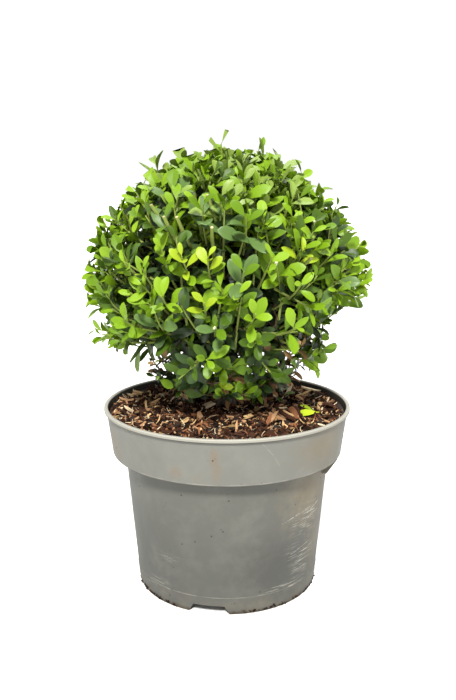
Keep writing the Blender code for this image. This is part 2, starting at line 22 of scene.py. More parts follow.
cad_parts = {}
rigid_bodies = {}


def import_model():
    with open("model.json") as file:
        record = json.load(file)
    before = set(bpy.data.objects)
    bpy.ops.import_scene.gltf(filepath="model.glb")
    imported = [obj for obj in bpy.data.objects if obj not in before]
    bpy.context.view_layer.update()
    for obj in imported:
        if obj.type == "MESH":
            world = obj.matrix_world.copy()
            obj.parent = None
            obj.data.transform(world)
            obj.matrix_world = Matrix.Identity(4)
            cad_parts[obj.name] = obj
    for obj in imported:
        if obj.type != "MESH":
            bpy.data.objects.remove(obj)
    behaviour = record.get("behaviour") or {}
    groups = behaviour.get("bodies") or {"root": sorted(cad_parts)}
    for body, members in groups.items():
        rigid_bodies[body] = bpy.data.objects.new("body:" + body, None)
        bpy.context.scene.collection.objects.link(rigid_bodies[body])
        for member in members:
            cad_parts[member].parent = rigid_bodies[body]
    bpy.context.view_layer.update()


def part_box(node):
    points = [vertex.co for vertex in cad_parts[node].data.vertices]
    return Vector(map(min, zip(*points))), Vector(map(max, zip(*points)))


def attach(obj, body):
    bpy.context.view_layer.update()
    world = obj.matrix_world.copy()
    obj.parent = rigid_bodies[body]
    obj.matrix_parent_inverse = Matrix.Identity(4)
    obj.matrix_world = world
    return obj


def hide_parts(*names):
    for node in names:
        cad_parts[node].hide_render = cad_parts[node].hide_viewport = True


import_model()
LOG = logging.getLogger("holly_ball")

SEED = 3
GAP = 0.0003
UP = Vector((0, 0, 1))
FRONT = Vector((0, -1, 0))
GOLDEN_ANGLE = pi * (3 - sqrt(5))
OUTER_KINDS = (0, 10)
INNER_KINDS = (10, 13)
CLIPPED_KINDS = (13, 15)

Colour = tuple[float, float, float]
Span = tuple[float, float]
Row = tuple[float, ...]


# Helpers for meshes and pieces.


def polar(radius: float, azimuth: float, height: float = 0) -> Vector:
    """The point at this distance from the Z axis, in this direction, at this height."""
    return Vector((radius * cos(azimuth), radius * sin(azimuth), height))


def heading(azimuth: float, elevation: float) -> Vector:
    """The unit vector in this direction, with both angles in degrees."""
    return polar(cos(radians(elevation)), radians(azimuth), sin(radians(elevation)))


def bezier(start: Vector, bend: Vector, end: Vector, share: float) -> Vector:
    """The point at this share of the way along a curve through one bend."""
    return start.lerp(bend, share).lerp(bend.lerp(end, share), share)


def curve_of(start: Vector, bend: Vector, end: Vector, steps: int) -> list[Vector]:
    """The points along such a curve that divide it in this many steps."""
    return [bezier(start, bend, end, step / steps) for step in range(steps + 1)]


def frame_at(origin: Vector, forward: Vector, facing: Vector, size: float = 1, wide: float = 1) -> Matrix:
    """Place a shape of one unit with its length along Z and its upper side along Y.

    Args:
        origin: Where the shape's root goes.
        forward: The way that its length points.
        facing: The way that its upper side faces, as near as its length allows.
        size: Its length.
        wide: How much wider it becomes.

    Returns:
        The matrix of that place.
    """
    side = facing.cross(forward).normalized()
    front = forward.cross(side).normalized()
    axes = Matrix((side, front, forward.normalized())).transposed().to_4x4()
    return Matrix.Translation(origin) @ axes @ Matrix.Diagonal((size * wide, size, size, 1))


def mesh_of(name: str, bm: bmesh.types.BMesh) -> Mesh:
    """Make a mesh of a bmesh and free the bmesh."""
    mesh = bpy.data.meshes.new(name)
    bm.to_mesh(mesh)
    bm.free()
    return mesh


def spun(name: str, profile: Sequence[Span], steps: int) -> Mesh:
    """Turn a section round the Z axis into a closed mesh.

    Args:
        name: The mesh's name.
        profile: Points of (radius, height) from pole to pole.
        steps: How many steps make the full turn.

    Returns:
        The mesh, with closed poles and its faces outward.
    """
    bm = bmesh.new()
    points = [bm.verts.new((radius, 0, height)) for radius, height in profile]
    geometry = [*points, *(bm.edges.new(pair) for pair in zip(points, points[1:]))]
    bmesh.ops.spin(bm, geom=geometry, axis=UP, cent=(0, 0, 0), angle=tau, steps=steps, use_merge=True)
    bmesh.ops.remove_doubles(bm, verts=bm.verts, dist=1e-6)
    bmesh.ops.recalc_face_normals(bm, faces=bm.faces)
    return mesh_of(name, bm)


def filleted(profile: Sequence[Span], radii: dict[int, float], steps: int = 4) -> list[Span]:
    """Round corners of a section.

    Args:
        profile: Points of (radius, height).
        radii: The radius of the arc at each rounded corner, by the corner's index.
        steps: How many edges each arc has.

    Returns:
        The section with arcs in the place of those corners.
    """
    rounded: list[Span] = []
    for index, point in enumerate(profile):
        if index not in radii:
            rounded.append(point)
            continue
        corner = Vector(point)
        before = (Vector(profile[index - 1]) - corner).normalized()
        after = (Vector(profile[index + 1]) - corner).normalized()
        half = before.angle(after) / 2
        reach = radii[index] / tan(half)
        centre = corner + (before + after).normalized() * radii[index] / sin(half)
        first = corner + before * reach - centre
        last = corner + after * reach - centre
        for step in range(steps + 1):
            spoke = first.lerp(last, step / steps).normalized() * radii[index]
            rounded.append(tuple(centre + spoke))
    return rounded


def helper(name: str, data: ID) -> Object:
    """Put an object in the scene that is no piece of the plant."""
    obj = bpy.data.objects.new(name, data)
    bpy.context.scene.collection.objects.link(obj)
    return obj


def applied(obj: Object) -> Mesh:
    """Take the mesh that an object's modifiers make, and remove the object."""
    graph = bpy.context.evaluated_depsgraph_get()
    mesh = bpy.data.meshes.new_from_object(obj.evaluated_get(graph))
    mesh.name = obj.name
    bpy.data.objects.remove(obj)
    return mesh


def combined(mesh: Mesh, others: Sequence[Mesh], operation: str) -> Mesh:
    """Join closed meshes to a mesh, or cut them from it, with one exact Boolean."""
    obj = helper(mesh.name, mesh)
    collection = bpy.data.collections.new("operands")
    bpy.context.scene.collection.children.link(collection)
    for other in others:
        collection.objects.link(bpy.data.objects.new("operand", other))
    modifier = obj.modifiers.new(operation.lower(), "BOOLEAN")
    modifier.operation = operation
    modifier.operand_type = "COLLECTION"
    modifier.collection = collection
    modifier.solver = "EXACT"
    result = applied(obj)
    for operand in list(collection.objects):
        bpy.data.objects.remove(operand)
    bpy.data.collections.remove(collection)
    return result


def add_piece(name: str, mesh: Mesh, materials: Sequence[Material], sharp: float = 35) -> Object:
    """Put a finished mesh in the scene as a piece of the plant.

    Args:
        name: The piece's name.
        mesh: Its mesh, in place.
        materials: Its materials, in the order of the mesh's slots.
        sharp: Edges sharper than this, in degrees, keep a crease.

    Returns:
        The piece, which rides on the plant's one body.
    """
    mesh.name = name
    mesh.materials.clear()
    for material in materials:
        mesh.materials.append(material)
    mesh.shade_smooth()
    mesh.set_sharp_from_angle(angle=radians(sharp))
    piece = helper(name, mesh)
    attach(piece, "root")
    LOG.info("%s: %d faces", name, len(mesh.polygons))
    return piece


# Many small things, joined from arrays.


class Shape:
    """One small shape that is repeated many times, kept as arrays."""

    def __init__(self, mesh: Mesh) -> None:
        """Read a mesh's corners and faces, and remove the mesh."""
        self.corners = self.read(mesh.vertices, "co", float, 3).reshape(-1, 3)
        self.loops = self.read(mesh.loops, "vertex_index", np.int32)
        self.starts = self.read(mesh.polygons, "loop_start", np.int32)
        self.slots = self.read(mesh.polygons, "material_index", np.int32)
        bpy.data.meshes.remove(mesh)

    @staticmethod
    def read(items: Sequence, name: str, kind: type, width: int = 1) -> np.ndarray:
        """Read one property of all the items of a mesh."""
        values = np.empty(len(items) * width, kind)
        items.foreach_get(name, values)
        return values


class Swarm:
    """Placed copies of a few small shapes, which are joined into one piece."""

    def __init__(self, shapes: Sequence[Shape]) -> None:
        """Keep the shapes, with no copy placed yet."""
        self.shapes = shapes
        self.places: list[list[Matrix]] = [[] for _ in shapes]

    def add(self, kind: int, place: Matrix) -> None:
        """Place a copy of the shape with this index."""
        self.places[kind].append(place)

    def mesh(self) -> Mesh:
        """Join all the copies into one mesh.

        Returns:
            The mesh, with the copies of each shape in turn.
        """
        corners, loops, starts, slots = [], [], [], []
        corner_count = loop_count = 0
        for shape, placed in zip(self.shapes, self.places):
            if not placed:
                continue
            places = np.array(placed)
            turned = np.einsum("nij,kj->nki", places[:, :3, :3], shape.corners)
            turned += places[:, None, :3, 3]
            steps = np.arange(len(places))[:, None]
            corners.append(turned.reshape(-1, 3))
            loops.append((shape.loops + corner_count + steps * len(shape.corners)).ravel())
            starts.append((shape.starts + loop_count + steps * len(shape.loops)).ravel())
            slots.append(np.tile(shape.slots, len(places)))
            corner_count += len(corners[-1])
            loop_count += len(loops[-1])
        mesh = bpy.data.meshes.new("swarm")
        mesh.vertices.add(corner_count)
        mesh.vertices.foreach_set("co", np.concatenate(corners).ravel())
        mesh.loops.add(loop_count)
        mesh.loops.foreach_set("vertex_index", np.concatenate(loops).astype(np.int32))
        mesh.polygons.add(sum(len(part) for part in starts))
        mesh.polygons.foreach_set("loop_start", np.concatenate(starts).astype(np.int32))
        mesh.polygons.foreach_set("material_index", np.concatenate(slots).astype(np.int32))
        mesh.update(calc_edges=True)
        mesh.validate()
        return mesh


class Strands:
    """Many tapering twigs, made as one curve and then one mesh."""

    def __init__(self, name: str, sides: int = 5) -> None:
        """Start an empty curve whose twigs have this many sides."""
        ring = bpy.data.curves.new("ring", "CURVE")
        outline = ring.splines.new("POLY")
        outline.points.add(sides - 1)
        for index, point in enumerate(outline.points):
            point.co = (*polar(1, -index * tau / sides), 1)
        outline.use_cyclic_u = True
        self.ring = helper("ring", ring)
        self.curve = bpy.data.curves.new(name, "CURVE")
        self.curve.dimensions = "3D"
        self.curve.bevel_mode = "OBJECT"
        self.curve.bevel_object = self.ring
        self.curve.use_fill_caps = True

    def add(self, route: Sequence[Vector], radii: Sequence[float]) -> None:
        """Add a twig along a route, with its radius at each point."""
        spline = self.curve.splines.new("POLY")
        spline.points.add(len(route) - 1)
        for point, place, radius in zip(spline.points, route, radii):
            point.co = (*place, 1)
            point.radius = radius
        spline.use_smooth = True

    def mesh(self) -> Mesh:
        """Turn every twig into mesh tubes with closed ends."""
        mesh = applied(helper(self.curve.name, self.curve))
        bpy.data.objects.remove(self.ring)
        return mesh


# Materials.


class Graph:
    """A material's nodes, with short calls that add and link them."""

    def __init__(self, name: str) -> None:
        """Start a material with its one Principled shader."""
        self.material = bpy.data.materials.new(name)
        self.material.use_nodes = True
        self.tree = self.material.node_tree
        self.shader = self.tree.nodes["Principled BSDF"]
        self.place = self.node("TexCoord").outputs["Object"]

    def node(self, kind: str, values: dict | None = None, **settings: object) -> Node:
        """Add a node.

        Args:
            kind: The node's type, without its prefix.
            values: A number, a colour or the socket of another node for each input.
            **settings: The node's own settings.

        Returns:
            The node.
        """
        node = self.tree.nodes.new("ShaderNode" + kind)
        for name, setting in settings.items():
            setattr(node, name, setting)
        for name, value in (values or {}).items():
            self.put(node.inputs[name], value)
        return node

    def put(self, socket: NodeSocket, value: object) -> None:
        """Link a socket to an input, or set the input's own value."""
        if isinstance(value, NodeSocket):
            self.tree.links.new(value, socket)
        else:
            socket.default_value = value

    def noise(
        self, scale: float, detail: float = 3, stretch: Colour = (1, 1, 1), rough: float = 0.5
    ) -> NodeSocket:
        """Add noise over the piece, about 0 to 1, stretched along an axis where asked."""
        place = self.node("Mapping", {"Vector": self.place, "Scale": stretch}).outputs[0]
        values = {"Vector": place, "Scale": scale, "Detail": detail, "Roughness": rough}
        return self.node("TexNoise", values).outputs[0]

    def step(self, value: object, low: float, high: float) -> NodeSocket:
        """Turn a value into 0 below low and 1 above high, or the reverse, smoothly."""
        values = {"Value": value, "From Min": low, "From Max": high}
        return self.node("MapRange", values, interpolation_type="SMOOTHSTEP").outputs[0]

    def span(self, value: object, low: float, high: float) -> NodeSocket:
        """Turn a value of 0 to 1 into one from low to high."""
        return self.node("MapRange", {"Value": value, "To Min": low, "To Max": high}).outputs[0]

    def maths(self, operation: str, *values: object) -> NodeSocket:
        """Add a Math node on one, two or three values."""
        return self.node("Math", dict(enumerate(values)), operation=operation).outputs[0]

    def product(self, first: object, *others: object) -> NodeSocket:
        """Multiply values."""
        for other in others:
            first = self.maths("MULTIPLY", first, other)
        return first

    def vector(self, operation: str, *values: object) -> Node:
        """Add a Vector Math node."""
        return self.node("VectorMath", dict(enumerate(values)), operation=operation)

    def mixed(self, share: object, first: object, second: object) -> NodeSocket:
        """Mix two colours."""
        values = {0: share, 6: rgba(first), 7: rgba(second)}
        return self.node("Mix", values, data_type="RGBA").outputs[2]

    def spot(self, centre: Row, size: Row, edge: float = 0.9) -> NodeSocket:
        """Mask an ellipsoid: 1 inside, falling to 0 at its edge, in a ragged outline."""
        away = self.vector("SUBTRACT", self.place, centre).outputs[0]
        scaled = self.vector("DIVIDE", away, size).outputs[0]
        far = self.vector("LENGTH", scaled).outputs["Value"]
        ragged = self.maths("ADD", far, self.span(self.noise(160, 4), -0.45, 0.45))
        return self.step(ragged, 1, 1 - edge)

    def scratch(self, start: Vector, end: Vector, width: float) -> NodeSocket:
        """Mask a thin broken line between two points, as seen from the front."""
        away = self.vector("SUBTRACT", self.place, start).outputs[0]
        run = Vector((end.x - start.x, 0, end.z - start.z))
        ways = (run / run.length_squared, Vector((run.z, 0, -run.x)).normalized(), -FRONT)
        share, off, depth = (self.vector("DOT_PRODUCT", away, way).outputs["Value"] for way in ways)
        line = self.step(self.maths("ABSOLUTE", off), width, width * 0.3)
        ends = self.step(self.maths("ABSOLUTE", self.maths("SUBTRACT", share, 0.5)), 0.5, 0.42)
        broken = self.step(self.noise(420, 2), 0.40, 0.52)
        return self.product(line, ends, self.step(depth, 0.04, 0.03), broken)

    def bump(self, height: object, strength: float, distance: float, **inputs: object) -> NodeSocket:
        """Add a Bump node on a height."""
        values = {"Height": height, "Strength": strength, "Distance": distance, **inputs}
        return self.node("Bump", values).outputs[0]

    def dress(self, **inputs: object) -> Material:
        """Set or link the shader's inputs, whose names are given with _ for a space."""
        for name, value in inputs.items():
            self.put(self.shader.inputs[name.replace("_", " ")], value)
        return self.material


def rgba(colour: object) -> object:
    """Add an alpha of 1 to a colour of three numbers, and leave a socket as it is."""
    return (*colour, 1) if isinstance(colour, tuple) else colour


def blend(first: Colour, second: Colour, share: float) -> Colour:
    """Mix two plain colours."""
    return tuple(a + (b - a) * share for a, b in zip(first, second))


class Coat:
    """A colour that is laid on a piece in layers."""

    def __init__(self, graph: Graph, colour: object) -> None:
        """Start with the lowest layer."""
        self.graph = graph
        self.colour = colour

    def lay(self, tint: object, *shares: object) -> None:
        """Lay a tint over the others, as thick as the product of the shares."""
        self.colour = self.graph.mixed(self.graph.product(*shares), self.colour, tint)


@dataclass(frozen=True)
class LeafFinish:
    """The finish of leaves of one tint: a soft gloss above, matt below, paler lines."""

    colour: Colour
    line_share: float
    under_share: float = 0.35
    roughness: Span = (0.34, 0.52)
    matting: float = 0.25
    relief: float = 0.00012
    smooth_relief: float = 0.00005
    pale: Colour = (0.46, 0.62, 0.13)
    pale_under: Colour = (0.20, 0.29, 0.06)
    dry: Colour = (0.36, 0.25, 0.11)

    def surface(self, name: str, colour: Colour, matting: float, depth: float) -> Material:
        """Make one plain coloured leaf surface with fine uneven relief."""
        graph = Graph("leaf_" + name)
        shine = graph.span(graph.noise(260, 2), *(rough + matting for rough in self.roughness))
        relief = graph.bump(graph.noise(900, 3), 0.5, depth)
        return graph.dress(
            Base_Color=rgba(colour), Roughness=shine, Normal=relief, Specular_IOR_Level=0.20
        )

    def materials(self, name: str) -> list[Material]:
        """Make the upper side, the lines, the underside and the dry edge of a clipped leaf."""
        line = blend(self.colour, self.pale, self.line_share)
        under = blend(self.colour, self.pale_under, self.under_share)
        cut = blend(self.dry, self.colour, 0.25)
        return [
            self.surface(name, self.colour, 0, self.relief),
            self.surface(f"{name}_lines", line, 0, self.smooth_relief),
            self.surface(f"{name}_under", under, self.matting, self.relief),
            self.surface(f"{name}_cut", cut, self.matting, self.smooth_relief),
        ]


class Tint(Enum):
    """The leaf tints, from the oldest leaves to the newest, and the dead ones; the darkest ones also serve as
    painted shade, and the two sheen tints are painted sheen.
    """

    # Darker than old leaves alone, as painted shade in the gaps inside the ball.
    DEEP = LeafFinish((0.013, 0.024, 0.007), 0.10)
    SHADE = LeafFinish((0.032, 0.060, 0.016), 0.12)
    DARK = LeafFinish((0.046, 0.090, 0.007), 0.14)
    # Painted sheen: a greyer, paler green for glossy dark leaves.
    SHEEN = LeafFinish((0.084, 0.146, 0.038), 0.16, roughness=(0.28, 0.44))
    MID = LeafFinish((0.092, 0.174, 0.007), 0.20)
    FRESH = LeafFinish((0.138, 0.246, 0.007), 0.28)
    # Painted sheen: a pale grey green for the leaves on top of the ball.
    HAZE = LeafFinish((0.168, 0.246, 0.044), 0.28, roughness=(0.30, 0.46))
    BRIGHT = LeafFinish((0.172, 0.290, 0.011), 0.30)
    LIME = LeafFinish((0.244, 0.338, 0.014), 0.30)
    YELLOW = LeafFinish((0.420, 0.540, 0.026), 0.30)
    BROWN = LeafFinish(
        (0.160, 0.090, 0.036), 0.3, 0.4, (0.6, 0.8), pale=(0.26, 0.16, 0.07), pale_under=(0.20, 0.13, 0.06)
    )
    TAN = LeafFinish(
        (0.235, 0.150, 0.062), 0.4, 0.4, (0.6, 0.8), pale=(0.42, 0.30, 0.15), pale_under=(0.34, 0.23, 0.11)
    )


@dataclass(frozen=True)
class PlasticFinish:
    """Warm grey plastic, matt from wear, with stains, scuffs, specks, a dirty foot, painted shade and a
    painted highlight.
    """

    clean: Colour = (0.139, 0.139, 0.125)
    # The body and foot colours are darker than the band as painted shade.
    body: Colour = (0.094, 0.095, 0.085)
    low: Colour = (0.075, 0.076, 0.070)
    warm: Colour = (0.152, 0.127, 0.086)
    pale: Colour = (0.300, 0.290, 0.250)
    # A painted highlight on the lip's top, also used for the scratches.
    lip: Colour = (0.380, 0.370, 0.330)
    # Random dark mottling, and painted shade on the lower right front.
    dark: Colour = (0.050, 0.050, 0.045)
    stain: Colour = (0.155, 0.122, 0.086)
    # Dirt in the specks and on the foot, and painted shade in the creases and inside the foot ring.
    grime_and_shade: Colour = (0.030, 0.022, 0.015)
    # Painted shade, with some dirt, on the inner side of the band.
    inside: Colour = (0.040, 0.038, 0.031)

    def material(self, pot: "Pot") -> Material:
        """Make the material.

        Args:
            pot: The pot that wears it, for its heights, radii and marks.

        Returns:
            The material.
        """
        graph = Graph("pot_plastic")
        parts = graph.node("SeparateXYZ", {0: graph.place}).outputs
        height = parts["Z"]
        across = graph.node("CombineXYZ", {0: parts["X"], 1: parts["Y"]}).outputs[0]
        radius = graph.vector("LENGTH", across).outputs["Value"]
        coat = Coat(graph, self.clean)
        self.ground(coat, pot, height)
        self.wear(coat, pot)
        self.edges(coat, pot, height)
        self.painted_inner_shade(coat, pot, height, radius)
        grain = graph.bump(graph.noise(1300, 3), 0.35, 0.00012)
        dents = graph.bump(graph.noise(40, 3), 0.25, 0.0006, Normal=grain)
        shine = graph.span(graph.noise(60, 5, (1, 1, 0.5)), 0.50, 0.72)
        return graph.dress(Base_Color=coat.colour, Roughness=shine, Normal=dents, Specular_IOR_Level=0.20)

    def ground(self, coat: Coat, pot: "Pot", height: NodeSocket) -> None:
        """Lay the clean colour: paler on the band and darker below as painted shade, warmer to the right,
        with painted shade on the lower right front.
        """
        graph = coat.graph
        # The darker body and foot are painted shade under the band.
        body = graph.mixed(graph.step(height, pot.ledge, 0.030), self.body, self.low)
        coat.lay(body, graph.step(height, pot.ledge + 0.0004, pot.ledge - 0.0004))
        for centre, size, share in pot.warmth:
            coat.lay(self.warm, graph.spot(centre, size, 1.0), share)
        coat.lay(self.pale, graph.step(graph.noise(34, 6, rough=0.65), 0.42, 0.75), 0.10)
        # Painted shade on the lower right front, laid with random dark mottling.
        shade = graph.product(graph.spot(*pot.shade, 1.0), 0.55)
        cloud = graph.product(graph.step(graph.noise(19, 5, (1, 1, 0.6), 0.6), 0.50, 0.75), 0.14)
        coat.lay(self.dark, graph.maths("ADD", cloud, shade))

    def wear(self, coat: Coat, pot: "Pot") -> None:
        """Add the stains, the fine scuffs that run round the pot, the scratches and the specks."""
        graph = coat.graph
        dusty = graph.span(graph.step(graph.noise(700, 3), 0.35, 0.65), 0.45, 1)
        for centre, size, share in pot.stains:
            coat.lay(self.stain, graph.spot(centre, size), dusty, share)
        fine = graph.step(graph.noise(900, 4, (0.05, 0.05, 1), 0.7), 0.53, 0.63)
        for centre, size, share in pot.scuffs:
            coat.lay(self.pale, graph.spot(centre, size), fine, share)
        for start, end, width, share in pot.scratches:
            coat.lay(self.lip, graph.scratch(Vector(start), Vector(end), width), share)
        dots = graph.node("TexVoronoi", {"Vector": graph.place, "Scale": 190}).outputs["Distance"]
        sparse = graph.step(graph.noise(45, 2), 0.58, 0.64)
        coat.lay(self.grime_and_shade, graph.step(dots, 0.19, 0.12), sparse, 0.85)

    def edges(self, coat: Coat, pot: "Pot", height: NodeSocket) -> None:
        """Add the pale rim with a painted highlight on the lip, painted shade in the creases under the bead
        and the band, and the dirty foot.
        """
        graph = coat.graph
        bead_low = pot.height - pot.bead_height
        # The rim is paler, and the lip's top is painted paler still as a highlight.
        coat.lay(self.pale, graph.step(height, bead_low + 0.0002, bead_low + 0.0009), 0.62)
        coat.lay(self.lip, graph.step(height, pot.height - 0.0011, pot.height - 0.0004), 0.75)
        worn = graph.step(graph.noise(90, 4), 0.35, 0.70)
        # The dark lines under the bead and under the band are painted shade in those creases.
        for level, width, share, tint, breaks in (
            (bead_low - 0.0002, 0.0011, 0.80, self.grime_and_shade, 1),
            (pot.ledge + 0.0012, 0.0011, 0.30, self.pale, worn),
            (pot.ledge - 0.0004, 0.0016, 0.95, self.grime_and_shade, 1),
            (pot.seam_height, 0.0006, 0.28, self.pale, worn),
        ):
            off = graph.maths("ABSOLUTE", graph.maths("SUBTRACT", height, level))
            coat.lay(tint, graph.step(off, width, width * 0.2), share, breaks)
        ragged = graph.span(graph.noise(170, 5, rough=0.7), -0.0050, 0.0050)
        coat.lay(self.grime_and_shade, graph.step(graph.maths("ADD", height, ragged), 0.0050, 0.0016), 0.9)
        dust = graph.step(graph.noise(60, 5), 0.3, 0.7)
        coat.lay(self.warm, graph.step(height, 0.022, 0.004), dust, 0.38)

    def painted_inner_shade(self, coat: Coat, pot: "Pot", height: NodeSocket, radius: NodeSocket) -> None:
        """Paint shade on the inside of the foot ring, and shade with some dirt on the inside of the band."""
        graph = coat.graph
        deep = pot.body_radius(0) - pot.wall
        # Painted shade inside the foot ring.
        under = graph.step(radius, deep + pot.wall * 0.7, deep + pot.wall * 0.1)
        coat.lay(self.grime_and_shade, under, graph.step(height, 0.012, 0.009), 0.85)
        # Painted shade, with some dirt, on the inner side of the band.
        slope = (pot.band_radius(pot.height) - pot.band_low_radius) / pot.band_drop
        band = graph.maths("MULTIPLY_ADD", height, slope, pot.band_low_radius - slope * pot.ledge)
        inner = graph.step(graph.maths("SUBTRACT", band, radius), pot.wall * 0.4, pot.wall * 0.7)
        below = graph.step(height, pot.height, pot.height - 0.002)
        coat.lay(self.inside, inner, below, graph.step(height, pot.ledge, pot.ledge + 0.004))


@dataclass(frozen=True)
class BarkFinish:
    """Rough bark, darker in its furrows."""

    name: str
    furrow: Colour
    ridge: Colour
    scale: float
    stretch: Colour = (1, 1, 0.25)

    def material(self) -> Material:
        """Make the material."""
        graph = Graph(self.name)
        grain = graph.noise(self.scale, 5, self.stretch, 0.65)
        patch = graph.noise(self.scale / 4, 3)
        share = graph.step(graph.maths("ADD", grain, graph.span(patch, -0.15, 0.15)), 0.35, 0.68)
        colour = graph.mixed(share, self.furrow, self.ridge)
        relief = graph.bump(grain, 0.7, 0.0006)
        return graph.dress(Base_Color=colour, Roughness=graph.span(patch, 0.7, 0.95), Normal=relief)


@dataclass(frozen=True)
class PlainFinish:
    """A plain colour with fine relief, for small joined things."""

    name: str
    colour: Colour
    roughness: Span = (0.7, 0.9)
    grain: float = 500
    depth: float = 0.0004
    gloss: float = 0.12

    def material(self) -> Material:
        """Make the material."""
        graph = Graph(self.name)
        relief = graph.bump(graph.noise(self.grain, 4), 0.7, self.depth)
        shine = graph.span(graph.noise(self.grain / 3, 2), *self.roughness)
        return graph.dress(
            Base_Color=rgba(self.colour), Roughness=shine, Normal=relief, Specular_IOR_Level=self.gloss
        )


# The pot and what fills it.


@dataclass
class Pot:
    """The tapered plastic pot, with the sizes of its solid and the marks on it.

    A mark is the middle and the size of a patch, or both ends and the width of a scratch, and its
    strength.
    """

    height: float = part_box("pot")[1].z
    rim_radius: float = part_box("pot")[1].y
    lip_width: float = 0.0038
    bead_height: float = 0.0032
    bead_step: float = 0.0019
    band_drop: float = 0.0435
    band_low_radius: float = 0.1090
    body_top_radius: float = 0.0974
    base_radius: float = 0.0860
    wall: float = 0.0022
    foot_wall: float = 0.0032
    foot_height: float = 0.0110
    seam_height: float = 0.0170
    seam_step: float = 0.0004
    steps: int = 160
    notches: int = 3
    notch_turn: float = radians(-101)
    notch_size: tuple[float, float, float] = (0.03, 0.038, 0.0085)
    notch_top_width: float = 0.0285
    lugs: int = 2
    lug_turn: float = radians(-24)
    lug_width: float = 0.0028
    lug_drop: float = 0.0135
    lug_reach: float = 0.0126
    lug_foot_reach: float = 0.0042
    drains: int = 6
    drain_radius: float = 0.0045
    drain_circle: float = 0.060
    # The patch of painted shade on the lower right front, by its middle and size.
    shade: tuple[Row, Row] = ((0.040, -0.078, 0.038), (0.050, 0.05, 0.050))
    warmth: tuple[tuple[Row, Row, float], ...] = (
        ((0.080, -0.056, 0.105), (0.060, 0.06, 0.050), 0.80),
        ((0.088, -0.040, 0.050), (0.030, 0.05, 0.045), 0.50),
        ((0.090, -0.075, 0.155), (0.060, 0.05, 0.030), 0.70),
        ((-0.104, -0.045, 0.145), (0.020, 0.03, 0.030), 0.60),
        ((0.060, 0.080, 0.060), (0.060, 0.05, 0.060), 0.50),
    )
    stains: tuple[tuple[Row, Row, float], ...] = (
        ((-0.0105, -0.112, 0.157), (0.0060, 0.02, 0.0150), 0.90),
        ((-0.0085, -0.110, 0.143), (0.0060, 0.02, 0.0140), 0.80),
        ((-0.0437, -0.101, 0.141), (0.0085, 0.02, 0.0080), 0.70),
        ((-0.0240, -0.106, 0.137), (0.0080, 0.02, 0.0060), 0.30),
        ((-0.0300, 0.108, 0.150), (0.0180, 0.02, 0.0100), 0.60),
    )
    scuffs: tuple[tuple[Row, Row, float], ...] = (
        ((0.074, -0.058, 0.080), (0.027, 0.03, 0.024), 1.0),
        ((0.068, -0.060, 0.046), (0.024, 0.03, 0.030), 1.0),
        ((0.055, -0.066, 0.019), (0.045, 0.03, 0.007), 0.80),
        ((-0.063, -0.061, 0.018), (0.024, 0.03, 0.012), 0.55),
        ((-0.052, -0.074, 0.048), (0.020, 0.03, 0.012), 0.22),
        ((-0.020, 0.090, 0.060), (0.050, 0.03, 0.040), 0.70),
    )
    scratches: tuple[tuple[Row, Row, float, float], ...] = (
        ((0.0290, -0.109, 0.1690), (0.0391, -0.105, 0.1567), 0.0004, 0.24),
        ((0.0391, -0.105, 0.1567), (0.0445, -0.102, 0.1460), 0.0004, 0.18),
        ((0.0480, -0.082, 0.0840), (0.0654, -0.067, 0.0894), 0.0005, 0.8),
        ((0.0720, -0.058, 0.0860), (0.0844, -0.041, 0.0915), 0.0006, 0.9),
        ((0.0700, -0.058, 0.0790), (0.0840, -0.041, 0.0835), 0.0004, 0.7),
        ((0.0560, -0.070, 0.0500), (0.0760, -0.050, 0.0560), 0.0004, 0.6),
    )

    @property
    def ledge(self) -> float:
        """The height of the band's lower edge."""
        return self.height - self.band_drop

    def body_radius(self, height: float) -> float:
        """The outer radius of the body under the band."""
        return self.base_radius + (self.body_top_radius - self.base_radius) * (height / self.ledge)

    def band_radius(self, height: float) -> float:
        """The outer radius of the band."""
        widening = self.rim_radius - self.bead_step - self.band_low_radius
        return self.band_low_radius + widening * (height - self.ledge) / self.band_drop

    def section(self) -> list[Span]:
        """The pot's section from the floor over the lip to the middle of the base plate."""
        plate_top = self.foot_height + self.wall
        bead_low = self.height - self.bead_height
        seam_radius = self.body_radius(self.seam_height)
        lip_inner = self.rim_radius - self.lip_width
        corners = [
            (0, plate_top),
            (self.body_radius(plate_top) - self.wall, plate_top),
            (self.body_top_radius - self.wall, self.ledge + self.wall),
            (self.band_low_radius - self.wall, self.ledge + self.wall),
            (lip_inner, self.height - self.lip_width),
            (lip_inner, self.height),
            (self.rim_radius, self.height),
            (self.rim_radius, bead_low),
            (self.band_radius(bead_low), bead_low - self.seam_step),
            (self.band_low_radius, self.ledge),
            (self.body_top_radius, self.ledge),
            (seam_radius, self.seam_height),
            (seam_radius + self.seam_step, self.seam_height - self.seam_step),
            (self.base_radius, 0),
            (self.base_radius - self.foot_wall, 0),
            (self.base_radius - self.foot_wall, self.foot_height),
            (0, self.foot_height),
        ]
        radii = {5: 0.0011, 6: 0.0012, 7: 0.0007, 9: 0.0008, 10: 0.0006, 13: 0.0009, 14: 0.0005}
        return filleted(corners, radii)

    def notch(self, azimuth: float) -> Mesh:
        """A block with slanted ends that cuts a gap in the foot ring."""
        depth, width, height = self.notch_size
        bm = bmesh.new()
        bmesh.ops.create_cube(bm, size=1)
        bmesh.ops.scale(bm, vec=(depth, width, 2 * height), verts=bm.verts)
        for vert in bm.verts:
            slant = self.notch_top_width / width
            vert.co.y *= slant if vert.co.z > 0 else 2 - slant
        place = Matrix.Translation(polar(self.base_radius - self.wall, azimuth))
        bm.transform(place @ Matrix.Rotation(azimuth, 4, "Z"))
        return mesh_of("notch", bm)

